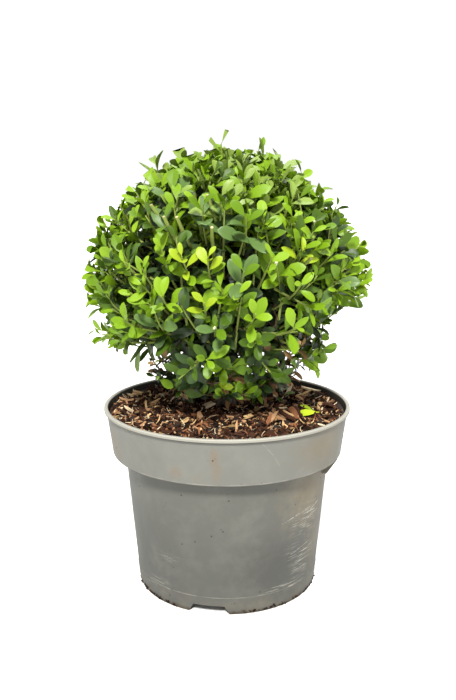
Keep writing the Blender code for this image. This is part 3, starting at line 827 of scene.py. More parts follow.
    def drain(self, azimuth: float) -> Mesh:
        """A pin that cuts a drain hole in the base plate."""
        bm = bmesh.new()
        place = Matrix.Translation(polar(self.drain_circle, azimuth, self.foot_height + self.wall / 2))
        sizes = {"radius1": self.drain_radius, "radius2": self.drain_radius, "depth": 4 * self.wall}
        bmesh.ops.create_cone(bm, cap_ends=True, segments=24, matrix=place, **sizes)
        return mesh_of("drain", bm)

    def lug(self, azimuth: float) -> Mesh:
        """A tapering rib in the corner under the band."""
        foot = self.ledge - self.lug_drop
        inner = self.body_radius(foot) - self.wall / 2
        bm = bmesh.new()
        bmesh.ops.create_cube(bm, size=1)
        for vert in bm.verts:
            upper = vert.co.z > 0
            reach = self.lug_reach if upper else self.lug_foot_reach
            vert.co.x = self.body_top_radius + reach if vert.co.x > 0 else inner
            vert.co.x -= 0 if upper else self.body_top_radius - self.body_radius(foot)
            vert.co.y *= self.lug_width
            vert.co.z = self.ledge + self.wall / 2 if upper else foot
        bm.transform(Matrix.Rotation(azimuth, 4, "Z"))
        return mesh_of("lug", bm)

    def build(self) -> None:
        """Make the pot and dress it."""
        shell = spun("pot_shell", self.section(), self.steps)
        turn = tau / self.lugs
        shell = combined(shell, [self.lug(self.lug_turn + n * turn) for n in range(self.lugs)], "UNION")
        turn = tau / self.notches
        cutters = [self.notch(self.notch_turn + n * turn) for n in range(self.notches)]
        turn = tau / self.drains
        cutters += [self.drain(self.notch_turn + (n + 0.5) * turn) for n in range(self.drains)]
        shell = combined(shell, cutters, "DIFFERENCE")
        piece = add_piece("pot_shell", shell, [PlasticFinish().material(self)], 30)
        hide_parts("pot")


class Bit(Enum):
    """The kinds of bits in the mulch."""

    CHUNK = "chunk"
    PLATE = "plate"
    SPLINTER = "splinter"
    CURL = "curl"
    FIBRE = "fibre"


@dataclass(frozen=True)
class Litter:
    """Bits of the mulch that share a finish: how many, how long and of what kinds.

    Some have a place of their own, each with its kind, x, y, length, turn, tilt and lift.
    """

    name: str
    colour: Colour
    relief: float
    count: int
    length: float
    longest: float
    kinds: tuple[Bit, ...]
    proud: float
    set_bits: tuple[tuple[Bit, float, float, float, float, float, float], ...] = ()


@dataclass
class Mulch:
    """The bark mulch that fills the pot: a dark mound with bits of bark on it."""

    pot: Pot
    edge: float = 0.0066
    top: float = 0.0015
    seat: float = 0.018
    slope: float = 1.6
    rings: int = 44
    steps: int = 120
    variants: int = 4
    crumbs: int = 260
    crumb_size: Span = (0.0012, 0.0030)
    lumps: tuple[Span, ...] = ((70, 0.0022), (190, 0.0013), (420, 0.0007))
    lump_level: float = 0.35
    size_spread: float = 0.38
    tilt_spread: float = 0.55
    roll: float = 1.3
    lift: Span = (-0.0026, 0.0014)
    splash: float = 0.0011
    litter: tuple[Litter, ...] = (
        Litter(
            "mulch_black", (0.014, 0.006, 0.003), 0.0006,
            1200, 0.0046, 0.010, (Bit.CHUNK, Bit.PLATE, Bit.SPLINTER), 0.0004,
        ),
        Litter(
            "mulch_dark", (0.050, 0.020, 0.011), 0.0006,
            1500, 0.0055, 0.012, (Bit.SPLINTER, Bit.SPLINTER, Bit.PLATE, Bit.CHUNK), 0.0002,
            (
                (Bit.SPLINTER, 0.0520, -0.0475, 0.022, 135, 14, 0.0045),
                (Bit.CURL, 0.0640, -0.0330, 0.018, 95, 10, 0.0030),
                (Bit.PLATE, 0.0960, -0.0049, 0.013, 170, 14, 0.0040),
            ),
        ),
        Litter(
            "mulch_red", (0.230, 0.096, 0.044), 0.0006,
            620, 0.0058, 0.014, (Bit.SPLINTER, Bit.SPLINTER, Bit.SPLINTER, Bit.CURL), 0.0004,
            (
                (Bit.CURL, 0.0609, -0.0396, 0.021, 100, 12, 0.0030),
                (Bit.SPLINTER, 0.0370, -0.0590, 0.016, 75, 16, 0.0030),
            ),
        ),
        Litter(
            "mulch_brown", (0.420, 0.240, 0.125), 0.0006,
            560, 0.0052, 0.013, (Bit.SPLINTER, Bit.SPLINTER, Bit.PLATE, Bit.CURL), 0.0006,
            (
                (Bit.SPLINTER, 0.0478, -0.0446, 0.019, 140, 12, 0.0035),
                (Bit.SPLINTER, 0.0500, -0.0415, 0.017, 150, 10, 0.0035),
                (Bit.SPLINTER, 0.0440, -0.0505, 0.018, 128, 8, 0.0035),
                (Bit.SPLINTER, 0.0400, -0.0560, 0.020, 60, 20, 0.0030),
                (Bit.SPLINTER, 0.0081, -0.0790, 0.012, 85, 40, 0.0030),
                (Bit.SPLINTER, -0.0985, 0.0160, 0.013, 175, 8, 0.0030),
                (Bit.PLATE, -0.0245, -0.0469, 0.011, 110, 30, 0.0025),
                (Bit.PLATE, 0.0700, 0.0120, 0.010, 150, 20, 0.0040),
            ),
        ),
        Litter(
            "mulch_ochre", (0.640, 0.420, 0.200), 0.0005,
            320, 0.0048, 0.011, (Bit.SPLINTER, Bit.SPLINTER, Bit.SPLINTER, Bit.PLATE), 0.0010,
            (
                (Bit.SPLINTER, 0.0570, -0.0440, 0.014, 155, 15, 0.0040),
                (Bit.CHUNK, 0.0190, -0.0500, 0.007, 20, 12, 0.0030),
                (Bit.CHUNK, -0.0897, 0.0411, 0.009, 170, 10, 0.0030),
                (Bit.SPLINTER, -0.0768, -0.0081, 0.010, 100, 25, 0.0030),
                (Bit.SPLINTER, -0.0691, 0.0022, 0.012, 30, 15, 0.0030),
                (Bit.CHUNK, -0.0372, -0.0577, 0.007, 20, 25, 0.0025),
                (Bit.SPLINTER, 0.0760, 0.0300, 0.016, 20, 14, 0.0040),
            ),
        ),
        Litter(
            "mulch_straw", (0.760, 0.610, 0.400), 0.0004,
            420, 0.0068, 0.015, (Bit.FIBRE, Bit.FIBRE, Bit.FIBRE, Bit.SPLINTER), 0.0012,
            (
                (Bit.CHUNK, -0.0170, -0.0200, 0.010, 40, 10, 0.0040),
                (Bit.SPLINTER, 0.0850, 0.0560, 0.018, 155, 8, 0.0030),
                (Bit.SPLINTER, 0.0620, 0.0400, 0.014, 60, 20, 0.0040),
            ),
        ),
    )

    @property
    def wall(self) -> float:
        """The inner radius of the pot where the mulch meets it."""
        return self.pot.band_radius(self.pot.height - self.edge) - self.pot.wall

    def height_at(self, radius: float) -> float:
        """The height of the mound at this distance from the axis, without its lumps."""
        share = max(0, min(1, (radius - self.seat) / (self.wall - self.seat)))
        return self.pot.height - self.top - (self.edge - self.top) * share**self.slope

    def section(self) -> list[Span]:
        """The section of the mulch: mound, side along the pot's inside, and bottom."""
        pot = self.pot
        bottom = pot.foot_height + pot.wall + GAP
        inner = pot.wall + GAP
        level = pot.ledge + pot.wall + GAP
        radii = [(self.wall - GAP) * ring / self.rings for ring in range(self.rings + 1)]
        return [
            *((radius, self.height_at(radius)) for radius in radii),
            (pot.band_low_radius - inner, level),
            (pot.body_top_radius - inner, level),
            (pot.body_radius(bottom) - inner, bottom),
            (0, bottom),
        ]

    def mound(self) -> Mesh:
        """The filling, with a lumpy top."""
        mesh = spun("mulch_mound", self.section(), self.steps)
        for vert in mesh.vertices:
            if vert.co.z < self.pot.height - self.edge - GAP or vert.co.xy.length > self.wall - 2 * GAP:
                continue
            for scale, depth in self.lumps:
                vert.co.z += depth * (noise.noise(vert.co * scale) - self.lump_level)
        return mesh

    @staticmethod
    def chunk(bm: bmesh.types.BMesh, draw: random.Random) -> None:
        """Shape a broken lump of bark."""
        bmesh.ops.create_cube(bm, size=1)
        bmesh.ops.subdivide_edges(bm, edges=bm.edges, cuts=1, use_grid_fill=True)
        for vert in bm.verts:
            vert.co += Vector([draw.uniform(-0.16, 0.16) for _ in range(3)])
        bmesh.ops.scale(bm, vec=(0.52, 0.30, 1), verts=bm.verts)

    @staticmethod
    def plate(bm: bmesh.types.BMesh, draw: random.Random) -> None:
        """Shape a thin plate with a ragged outline, a little bent."""
        ring = bmesh.ops.create_circle(bm, cap_ends=True, segments=9, radius=0.5)["verts"]
        for vert in ring:
            vert.co *= draw.uniform(0.65, 1.12)
        top = bmesh.ops.extrude_face_region(bm, geom=bm.faces[:])["geom"]
        for vert in (item for item in top if isinstance(item, bmesh.types.BMVert)):
            vert.co = vert.co * draw.uniform(0.8, 1) + UP * draw.uniform(0.07, 0.15)
        wide = draw.uniform(0.40, 0.75)
        bow = draw.uniform(-0.3, 0.3)
        for vert in bm.verts:
            vert.co = Vector((vert.co.x * wide, vert.co.z + bow * vert.co.y**2, vert.co.y))
        bmesh.ops.recalc_face_normals(bm, faces=bm.faces)

    @staticmethod
    def cut_along(bm: bmesh.types.BMesh, cuts: int) -> None:
        """Cut the edges that run along Z."""
        along = [edge for edge in bm.edges if abs(edge.verts[0].co.z - edge.verts[1].co.z) > 0.5]
        bmesh.ops.subdivide_edges(bm, edges=along, cuts=cuts)

    @classmethod
    def splinter(cls, bm: bmesh.types.BMesh, draw: random.Random) -> None:
        """Shape a long flat splinter with skew ends."""
        bmesh.ops.create_cube(bm, size=1)
        cls.cut_along(bm, 3)
        bow = draw.uniform(-0.3, 0.3)
        wide = draw.uniform(0.11, 0.26)
        skews = [draw.uniform(-0.16, 0.16) for _ in range(2)]
        for vert in bm.verts:
            end = abs(2 * vert.co.z)
            if end > 0.9:
                vert.co.z += skews[vert.co.z > 0] * (1 if vert.co.x > 0 else -1)
            taper = 1 - draw.uniform(0.2, 0.7) * end**2
            vert.co.x = vert.co.x * wide * taper + draw.uniform(-0.02, 0.02)
            vert.co.y = vert.co.y * wide * 0.42 * taper + bow * vert.co.z**2

    @staticmethod
    def curl(bm: bmesh.types.BMesh, draw: random.Random) -> None:
        """Shape a strip of bark that has rolled up."""
        bmesh.ops.create_grid(bm, x_segments=6, y_segments=3, size=0.5)
        bmesh.ops.solidify(bm, geom=bm.faces, thickness=0.06)
        roll = draw.uniform(2.4, 3.8)
        for vert in bm.verts:
            angle = vert.co.x * roll
            radius = 0.17 + vert.co.z + draw.uniform(-0.02, 0.02)
            bow = 0.25 * vert.co.y**2
            vert.co = Vector((radius * sin(angle), radius * cos(angle) - bow, vert.co.y))
        bmesh.ops.recalc_face_normals(bm, faces=bm.faces)

    @classmethod
    def fibre(cls, bm: bmesh.types.BMesh, draw: random.Random) -> None:
        """Shape a thin bent fibre."""
        bmesh.ops.create_cone(bm, cap_ends=True, segments=3, radius1=0.026, radius2=0.014, depth=1)
        cls.cut_along(bm, 4)
        bow = draw.uniform(0.3, 1.0)
        for vert in bm.verts:
            vert.co.x += bow * vert.co.z**2
            vert.co.y += 0.4 * vert.co.z**3

    def shape(self, kind: Bit, draw: random.Random) -> Shape:
        """Make one shape of this kind, one unit long."""
        shapers = {
            Bit.CHUNK: self.chunk,
            Bit.PLATE: self.plate,
            Bit.SPLINTER: self.splinter,
            Bit.CURL: self.curl,
            Bit.FIBRE: self.fibre,
        }
        bm = bmesh.new()
        shapers[kind](bm, draw)
        return Shape(mesh_of(kind.value, bm))

    def place(self, draw: random.Random, litter: Litter) -> Matrix:
        """Draw a place for one bit, most of them lying rather flat on the mound."""
        size = min(draw.lognormvariate(log(litter.length), self.size_spread), litter.longest)
        radius = (self.wall - 0.3 * size - 0.001) * sqrt(draw.random())
        forward = polar(1, draw.uniform(0, tau), draw.gauss(0, self.tilt_spread)).normalized()
        facing = (UP + polar(self.roll, draw.uniform(0, tau))).normalized()
        lift = draw.uniform(*self.lift) + litter.proud
        origin = polar(radius, draw.uniform(0, tau), self.height_at(radius) + lift)
        return frame_at(origin, forward, facing, size)

    def crumb_place(self, draw: random.Random) -> Matrix:
        """Draw a place for a crumb of soil that clings to the pot's foot, most at the right."""
        away = draw.uniform(0.17, 0.83)
        gap = draw.choice((1, 1, 0, 2)) + away
        azimuth = self.pot.notch_turn + gap * tau / self.pot.notches
        size = draw.uniform(*self.crumb_size)
        height = abs(draw.gauss(0, self.splash)) + size * 0.6
        spot = polar(self.pot.body_radius(height) - size * 0.05, azimuth, height)
        way = heading(draw.uniform(0, 360), draw.uniform(-60, 60))
        return frame_at(spot, way, way.orthogonal(), size)

    def build(self) -> None:
        """Make the mound and the bits on it, and dress them."""
        earth = BarkFinish("mulch_earth", (0.008, 0.005, 0.004), (0.045, 0.024, 0.016), 420, (1, 1, 1))
        piece = add_piece("mulch_mound", self.mound(), [earth.material()], 60)
        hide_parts("soil")
        draw = random.Random(SEED)
        kinds = [kind for kind in Bit for _ in range(self.variants)]
        shapes = [self.shape(kind, draw) for kind in kinds]
        for litter in self.litter:
            swarm = Swarm(shapes)
            for _ in range(litter.count):
                kind = kinds.index(draw.choice(litter.kinds)) + draw.randrange(self.variants)
                swarm.add(kind, self.place(draw, litter))
            if litter.kinds[0] is Bit.CHUNK:
                for _ in range(self.crumbs):
                    swarm.add(draw.randrange(self.variants), self.crumb_place(draw))
            for bit, x, y, length, turn, tilt, lift in litter.set_bits:
                spot = Vector((x, y, self.height_at(hypot(x, y)) + lift))
                kind = kinds.index(bit) + draw.randrange(self.variants)
                swarm.add(kind, frame_at(spot, heading(turn, tilt), UP, length))
            finish = PlainFinish(litter.name, litter.colour, depth=litter.relief)
            add_piece(litter.name, swarm.mesh(), [finish.material()], 25)


# The plant.


@dataclass
class LeafShape:
    """A leaf with a rounded tip: its outline, midrib, pale rim and the bend of its blade."""

    width: float = 0.50
    fold: float = 0.25
    curl: float = 0.10
    twist: float = 0.0
    bluntness: float = 0.62
    taper: float = 0.95
    thickness: float = 0.014
    stalk: float = 0.09
    stalk_width: float = 0.022
    cut: float = 1.0
    rows: Row = (0, 0.12, 0.34, 0.60, 0.82, 0.95, 1)
    columns: Row = (-1, -0.90, -0.12, 0.12, 0.90, 1)
    lines: tuple[int, ...] = (0, 2, 4)

    def half_width(self, share: float) -> float:
        """The half width of the blade at this share of the leaf's length."""
        along = max(0, (share * self.cut - self.stalk) / (1 - self.stalk))
        widest = self.taper / (self.taper + self.bluntness)
        peak = widest**self.taper * (1 - widest) ** self.bluntness
        blade = self.width / 2 * along**self.taper * (1 - along) ** self.bluntness / peak
        return max(blade, self.stalk_width if share < 0.5 else 0)

    def bent(self, across: float, share: float, below: bool) -> Vector:
        """The place of a point on the leaf, bent and folded.

        Args:
            across: From -1 at one edge to 1 at the other.
            share: From 0 at the stalk's foot to 1 at the tip.
            below: Whether the point is on the underside.

        Returns:
            The place.
        """
        side = across * self.half_width(share)
        lift = self.fold * abs(side) - self.curl * share**2
        thick = 0 if abs(across) == 1 or share == 1 else self.thickness
        level = lift + (-thick if below else thick) * (0.5 if abs(across) > 0.8 else 1)
        turn = self.twist * share
        return Vector((side * cos(turn) - level * sin(turn), side * sin(turn) + level * cos(turn), share))

    def sheet(self, columns: Row, below: bool) -> Mesh:
        """Make the leaf's face or its underside, as an open mesh with lines at these columns."""
        bm = bmesh.new()
        wide, long = len(columns) - 1, len(self.rows) - 1
        bmesh.ops.create_grid(bm, x_segments=wide, y_segments=long, size=1)
        for face in bm.faces:
            column = int((face.calc_center_median().x + 1) / 2 * wide)
            face.material_index = 2 if below else int(column in self.lines)
            if self.cut < 1 and face.calc_center_median().y > 1 - 2 / long:
                face.material_index = 3
        for vert in bm.verts:
            column, row = round((vert.co.x + 1) / 2 * wide), round((vert.co.y + 1) / 2 * long)
            vert.co = self.bent(columns[column], self.rows[row], below)
        return mesh_of("sheet", bm)

    def mesh(self) -> Mesh:
        """Make the leaf, one unit long: its face in slots 0 and 1, its underside in slot 2.

        Returns:
            A closed mesh with its length along Z and its upper side towards Y.
        """
        bm = bmesh.new()
        for columns, below in ((self.columns, False), ((-1, 0, 1), True)):
            sheet = self.sheet(columns, below)
            bm.from_mesh(sheet)
            bpy.data.meshes.remove(sheet)
        bmesh.ops.remove_doubles(bm, verts=bm.verts, dist=0.002)
        bmesh.ops.holes_fill(bm, edges=[edge for edge in bm.edges if edge.is_boundary])
        bmesh.ops.recalc_face_normals(bm, faces=bm.faces)
        return mesh_of("leaf", bm)


class Foliage:
    """The leaves of one part of the plant, in one swarm for each tint."""

    def __init__(self, name: str, shapes: Sequence[Shape]) -> None:
        """Start with no leaves."""
        self.name = name
        self.swarms = {tint: Swarm(shapes) for tint in Tint}

    def add(self, tint: Tint, kind: int, place: Matrix) -> None:
        """Place a leaf."""
        self.swarms[tint].add(kind, place)

    def build(self, materials: dict[Tint, list[Material]]) -> None:
        """Join the leaves of each tint and dress them."""
        for tint, swarm in self.swarms.items():
            if any(swarm.places):
                name = f"{self.name}_{tint.name.lower()}"
                add_piece(name, swarm.mesh(), materials[tint], 60)


@dataclass
class Limbs:
    """The trunk, the leader, the boughs and the low boughs, by the same rule as their solids."""

    foot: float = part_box("trunk")[0].z
    trunk_height: float = 0.031
    trunk_radius: float = 0.0078
    trunk_steps: int = 40
    head_steps: int = 8
    flare_radius: float = 0.0135
    flare_height: float = 0.0045
    flare_steps: int = 10
    flare_lobes: int = 5
    flare_lobe_depth: float = 0.16
    head_radius: float = 0.0105
    lean: Vector = field(default_factory=lambda: Vector((0.0020, 0.0010, 0)))
    boughs: int = 6
    bough_tilt: float = radians(58)
    bough_radii: Span = (0.0037, 0.0022)
    bough_reach: float = 0.046
    bough_spread: float = 0.006
    leader_top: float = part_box("leader")[1].z
    dish_top: float = 0.261
    dish_slope: float = (0.261 - 0.235) / 0.088
    low_boughs: int = 6
    low_turn: float = radians(-100)
    low_radii: Span = (0.0018, 0.0013)
    low_start: float = 0.014
    low_reach: float = 0.036
    low_rise: float = 0.006
    voxel: float = 0.0008
    relief: float = 0.0007
    grain: float = 420

    @property
    def head(self) -> Vector:
        """The middle of the trunk's round head, where the boughs fork."""
        return self.lean + UP * (self.foot + self.trunk_height)

    def dish_height(self, radius: float) -> float:
        """The height of the hollow underside of the ball at this distance from its middle."""
        return self.dish_top - self.dish_slope * radius

    def flare(self, height: float) -> float:
        """How much thicker the root flare makes the trunk at this height."""
        return (self.flare_radius - self.trunk_radius) * exp(-height / self.flare_height)

    def bough_route(self, index: int) -> list[Vector]:
        """A bough from the trunk's head up and out to the ball's underside."""
        outward = polar(1, (index + 0.3) * tau / self.boughs + random.uniform(-0.12, 0.12))
        tilt = self.bough_tilt + random.uniform(-0.05, 0.05)
        leaving = outward * sin(tilt) + UP * cos(tilt)
        start = self.head + leaving * (self.head_radius + GAP)
        arriving = (outward * self.dish_slope + UP).normalized()
        reach = self.bough_reach + random.uniform(-self.bough_spread, self.bough_spread)
        end = outward * reach + UP * self.dish_height(reach) - arriving * 2 * GAP
        bend = end - arriving * 0.35 * (end.z - start.z)
        bend = bend.lerp(start + leaving * 0.6 * (end - start).length, 0.3)
        return curve_of(start, bend, end, 6)

    def low_azimuth(self, index: int) -> float:
        """The direction of a low bough."""
        return self.low_turn + index * tau / self.low_boughs

    def low_route(self, index: int) -> list[Vector]:
        """A thin low bough from the trunk's side, rising a little on its way out."""
        outward = polar(1, self.low_azimuth(index))
        side = self.lean * self.low_start / self.trunk_height + UP * (self.foot + self.low_start)
        start = side + outward * (self.trunk_radius + self.flare(self.low_start) + 2 * GAP)
        bend = start + outward * 0.5 * (self.low_reach - self.trunk_radius)
        end = polar(self.low_reach, self.low_azimuth(index), start.z + self.low_rise)
        return curve_of(start, bend, end, 4)

    def leader_route(self) -> list[Vector]:
        """The leader, straight up from the trunk's head to the ball's stem."""
        start = self.head + UP * (self.head_radius + GAP)
        end = Vector((self.head.x, self.head.y, self.leader_top))
        return [start.lerp(end, step / 3) for step in range(4)]

    def trunk_mesh(self) -> Mesh:
        """The short trunk, with a root flare in lobes and a round head."""
        sweep = pi - asin(self.trunk_radius / self.head_radius)
        angles = [sweep * step / self.head_steps for step in range(self.head_steps + 1)]
        radius, top = self.head_radius, self.trunk_height
        section = [(radius * sin(angle), top + radius * cos(angle)) for angle in angles]
        waist = section[-1][1]
        for step in range(1, self.flare_steps + 1):
            height = waist * (1 - step / self.flare_steps)
            section.append((self.trunk_radius + self.flare(height), height))
        mesh = spun("trunk", [*section, (0, 0)], self.trunk_steps)
        for vert in mesh.vertices:
            height = vert.co.z
            lobe = self.flare_lobe_depth * exp(-height / self.flare_height)
            vert.co.xy *= 1 + lobe * cos(self.flare_lobes * atan2(vert.co.y, vert.co.x))
            vert.co += self.lean * min(height / self.trunk_height, 1) + UP * self.foot
        return mesh

    def limb_mesh(self, route: Sequence[Vector], radii: Span) -> Mesh:
        """One limb as a tapering tube that starts inside what carries it."""
        strand = Strands("limb", 12)
        sunk = [route[0] - (route[1] - route[0]).normalized() * self.head_radius * 0.7, *route]
        shares = [max(0, index - 1) / (len(route) - 1) for index in range(len(sunk))]
        strand.add(sunk, [radii[0] + (radii[1] - radii[0]) * share for share in shares])
        return strand.mesh()

    def build(self, routes: dict[str, list[Vector]]) -> None:
        """Make the limbs as one body with bark's relief, by their routes and names, and dress it."""
        bm = bmesh.new()
        bm.from_mesh(self.trunk_mesh())
        for name, route in routes.items():
            radii = self.low_radii if name.startswith("low") else self.bough_radii
            bm.from_mesh(self.limb_mesh(route, radii))
        bmesh.ops.recalc_face_normals(bm, faces=bm.faces)
        body = helper("limbs", mesh_of("limbs", bm))
        remesh = body.modifiers.new("fuse", "REMESH")
        remesh.mode = "VOXEL"
        remesh.voxel_size = self.voxel
        smooth = body.modifiers.new("smooth", "SMOOTH")
        smooth.factor = 0.5
        smooth.iterations = 3
        mesh = applied(body)
        normals = [vert.normal.copy() for vert in mesh.vertices]
        for vert, normal in zip(mesh.vertices, normals):
            if vert.co.z < self.foot + self.voxel:
                continue
            along = Vector((vert.co.x, vert.co.y, vert.co.z * 0.3)) * self.grain
            fine = noise.fractal(along, 1.0, 2.0, 3)
            vert.co += normal * self.relief * fine * (1 if vert.co.z < self.head.z else 0.45)
        finish = BarkFinish("bark", (0.030, 0.020, 0.014), (0.150, 0.110, 0.078), 380)
        piece = add_piece("limb_bark", mesh, [finish.material()], 180)
        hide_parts("trunk", *routes)


@dataclass
class Shoot:
    """One leafy shoot: where it starts, ends and bends, how leafy it is and what tints it has."""

    start: Vector
    end: Vector
    bend: Vector
    leaves: int
    leaf_length: float
    tints: tuple[Tint, ...]
    first_leaf: float = 0.25
    clipped: bool = False


Grown = tuple[Shoot, Vector]


class Tone(Enum):
    """The tints of a shoot's leaves, from its foot to its tip."""

    OLD = (Tint.DEEP, Tint.DEEP, Tint.DARK, Tint.DARK)
    SHADY = (Tint.DEEP, Tint.SHADE, Tint.SHADE, Tint.DARK)
    # The darkest leaves, inside the ball, darker than their age alone as painted shade.
    INNER = (Tint.DEEP, Tint.DEEP, Tint.DEEP, Tint.SHADE)
    QUIET = (Tint.DEEP, Tint.DARK, Tint.DARK, Tint.MID)
    # The darker painted sheen tint on half its leaves.
    COOL = (Tint.SHADE, Tint.SHEEN, Tint.SHEEN, Tint.MID)
    # The pale painted sheen tint on half its leaves, for the top of the ball.
    HAZY = (Tint.FRESH, Tint.HAZE, Tint.FRESH, Tint.HAZE)
    USUAL = (Tint.DARK, Tint.MID, Tint.FRESH, Tint.FRESH)
    FRESH = (Tint.DARK, Tint.MID, Tint.FRESH, Tint.BRIGHT)
    BRIGHT = (Tint.MID, Tint.FRESH, Tint.BRIGHT, Tint.BRIGHT)
    FLUSH = (Tint.MID, Tint.FRESH, Tint.LIME, Tint.LIME)
    DEAD = (Tint.BROWN, Tint.TAN, Tint.BROWN, Tint.TAN)

    @staticmethod
    def drawn(weights: dict["Tone", float]) -> "Tone":
        """Draw a tone by its weight."""
        return random.choices(list(weights), list(weights.values()))[0]


@dataclass
class Growth:
    """The rule by which shoots bear their leaves, in the space that a mass keeps to."""

    inside: Callable[[Vector], bool]
    foliage: Foliage
    strands: Strands
    wide_spread: float = radians(66)
    close_spread: float = radians(38)
    light: float = 0.54
    light_spread: float = 0.28
    tries: int = 4
    twig_radii: Span = (0.0012, 0.0006)
    twig_steps: int = 5
    kinds: tuple[int, int] = OUTER_KINDS
    lengths: Span = (0.80, 1.15)
    widths: Span = (0.88, 1.12)
    uneven_spread: float = 0.16
    uneven_turn: float = 0.25
    shrinking: float = 0.9
    edge_on: float = 0.97
    clipped_from: float = 0.5
    clipped_share: float = 0.7

    def add(self, shoot: Shoot, outward: Vector) -> None:
        """Grow a shoot and its leaves, spiralling round it and closer to it at its tip.

        Args:
            shoot: The shoot.
            outward: The way out of the mass, which the leaves turn their faces to.
        """
        route = curve_of(shoot.start, shoot.bend, shoot.end, self.twig_steps)
        thick, thin = self.twig_radii
        self.strands.add(route, [thick + (thin - thick) * n / self.twig_steps for n in range(len(route))])
        turn = random.uniform(0, tau)
        sun = Vector((outward.x, outward.y, outward.z * 0.30 + 0.21)).normalized()
        for index in range(shoot.leaves):
            share = index / max(1, shoot.leaves - 1)
            along = shoot.first_leaf + (1 - shoot.first_leaf) * share**0.8
            place = bezier(shoot.start, shoot.bend, shoot.end, along)
            ahead = bezier(shoot.start, shoot.bend, shoot.end, along + 0.05)
            turn += GOLDEN_ANGLE
            self.add_leaf(shoot, share, place, (ahead - place).normalized(), turn, sun)

    def add_leaf(
        self, shoot: Shoot, share: float, place: Vector, along: Vector, turn: float, sun: Vector
    ) -> None:
        """Grow one leaf, shorter or turned if it would leave the mass's space.

        Args:
            shoot: The shoot that bears it.
            share: How far along the shoot's leaves it comes, from 0 to 1.
            place: Where its stalk starts.
            along: The shoot's direction there.
            turn: The angle round the shoot.
            sun: The way that its upper side turns to.
        """
        side = along.orthogonal().normalized()
        size = shoot.leaf_length * (0.84 + 0.76 * share - 0.98 * share**2) * random.uniform(*self.lengths)
        for attempt in range(self.tries):
            spread = self.wide_spread + (self.close_spread - self.wide_spread) * share
            spread += random.gauss(0, self.uneven_spread)
            away = Matrix.Rotation(turn + random.gauss(0, self.uneven_turn), 3, along) @ side
            forward = along * cos(spread) + away * sin(spread)
            facing = along * sin(spread) - away * cos(spread)
            facing = facing.lerp(sun, self.light + random.uniform(-1, 1) * self.light_spread)
            length = size * self.shrinking**attempt
            if abs(facing.normalized().dot(forward)) > self.edge_on:
                continue
            if self.inside(place + forward * length):
                tint = shoot.tints[min(len(shoot.tints) - 1, int(share * len(shoot.tints)))]
                clipped = shoot.clipped and share > self.clipped_from
                clipped = clipped and random.random() < self.clipped_share
                kind = random.randrange(*(CLIPPED_KINDS if clipped else self.kinds))
                wide = random.uniform(*self.widths)
                self.foliage.add(tint, kind, frame_at(place, forward, facing, length, wide))
                return


@dataclass(frozen=True)
class Hollow:
    """A place where the ball's surface is drawn in: its middle, depth, spread and edge."""

    azimuth: float
    elevation: float
    depth: float
    spread: float
    edge: float = 2

    def depth_at(self, direction: Vector) -> float:
        """How deep the hollow is in this direction."""
        turn = degrees(heading(self.azimuth, self.elevation).angle(direction)) / self.spread
        return self.depth * exp(-(turn**self.edge))


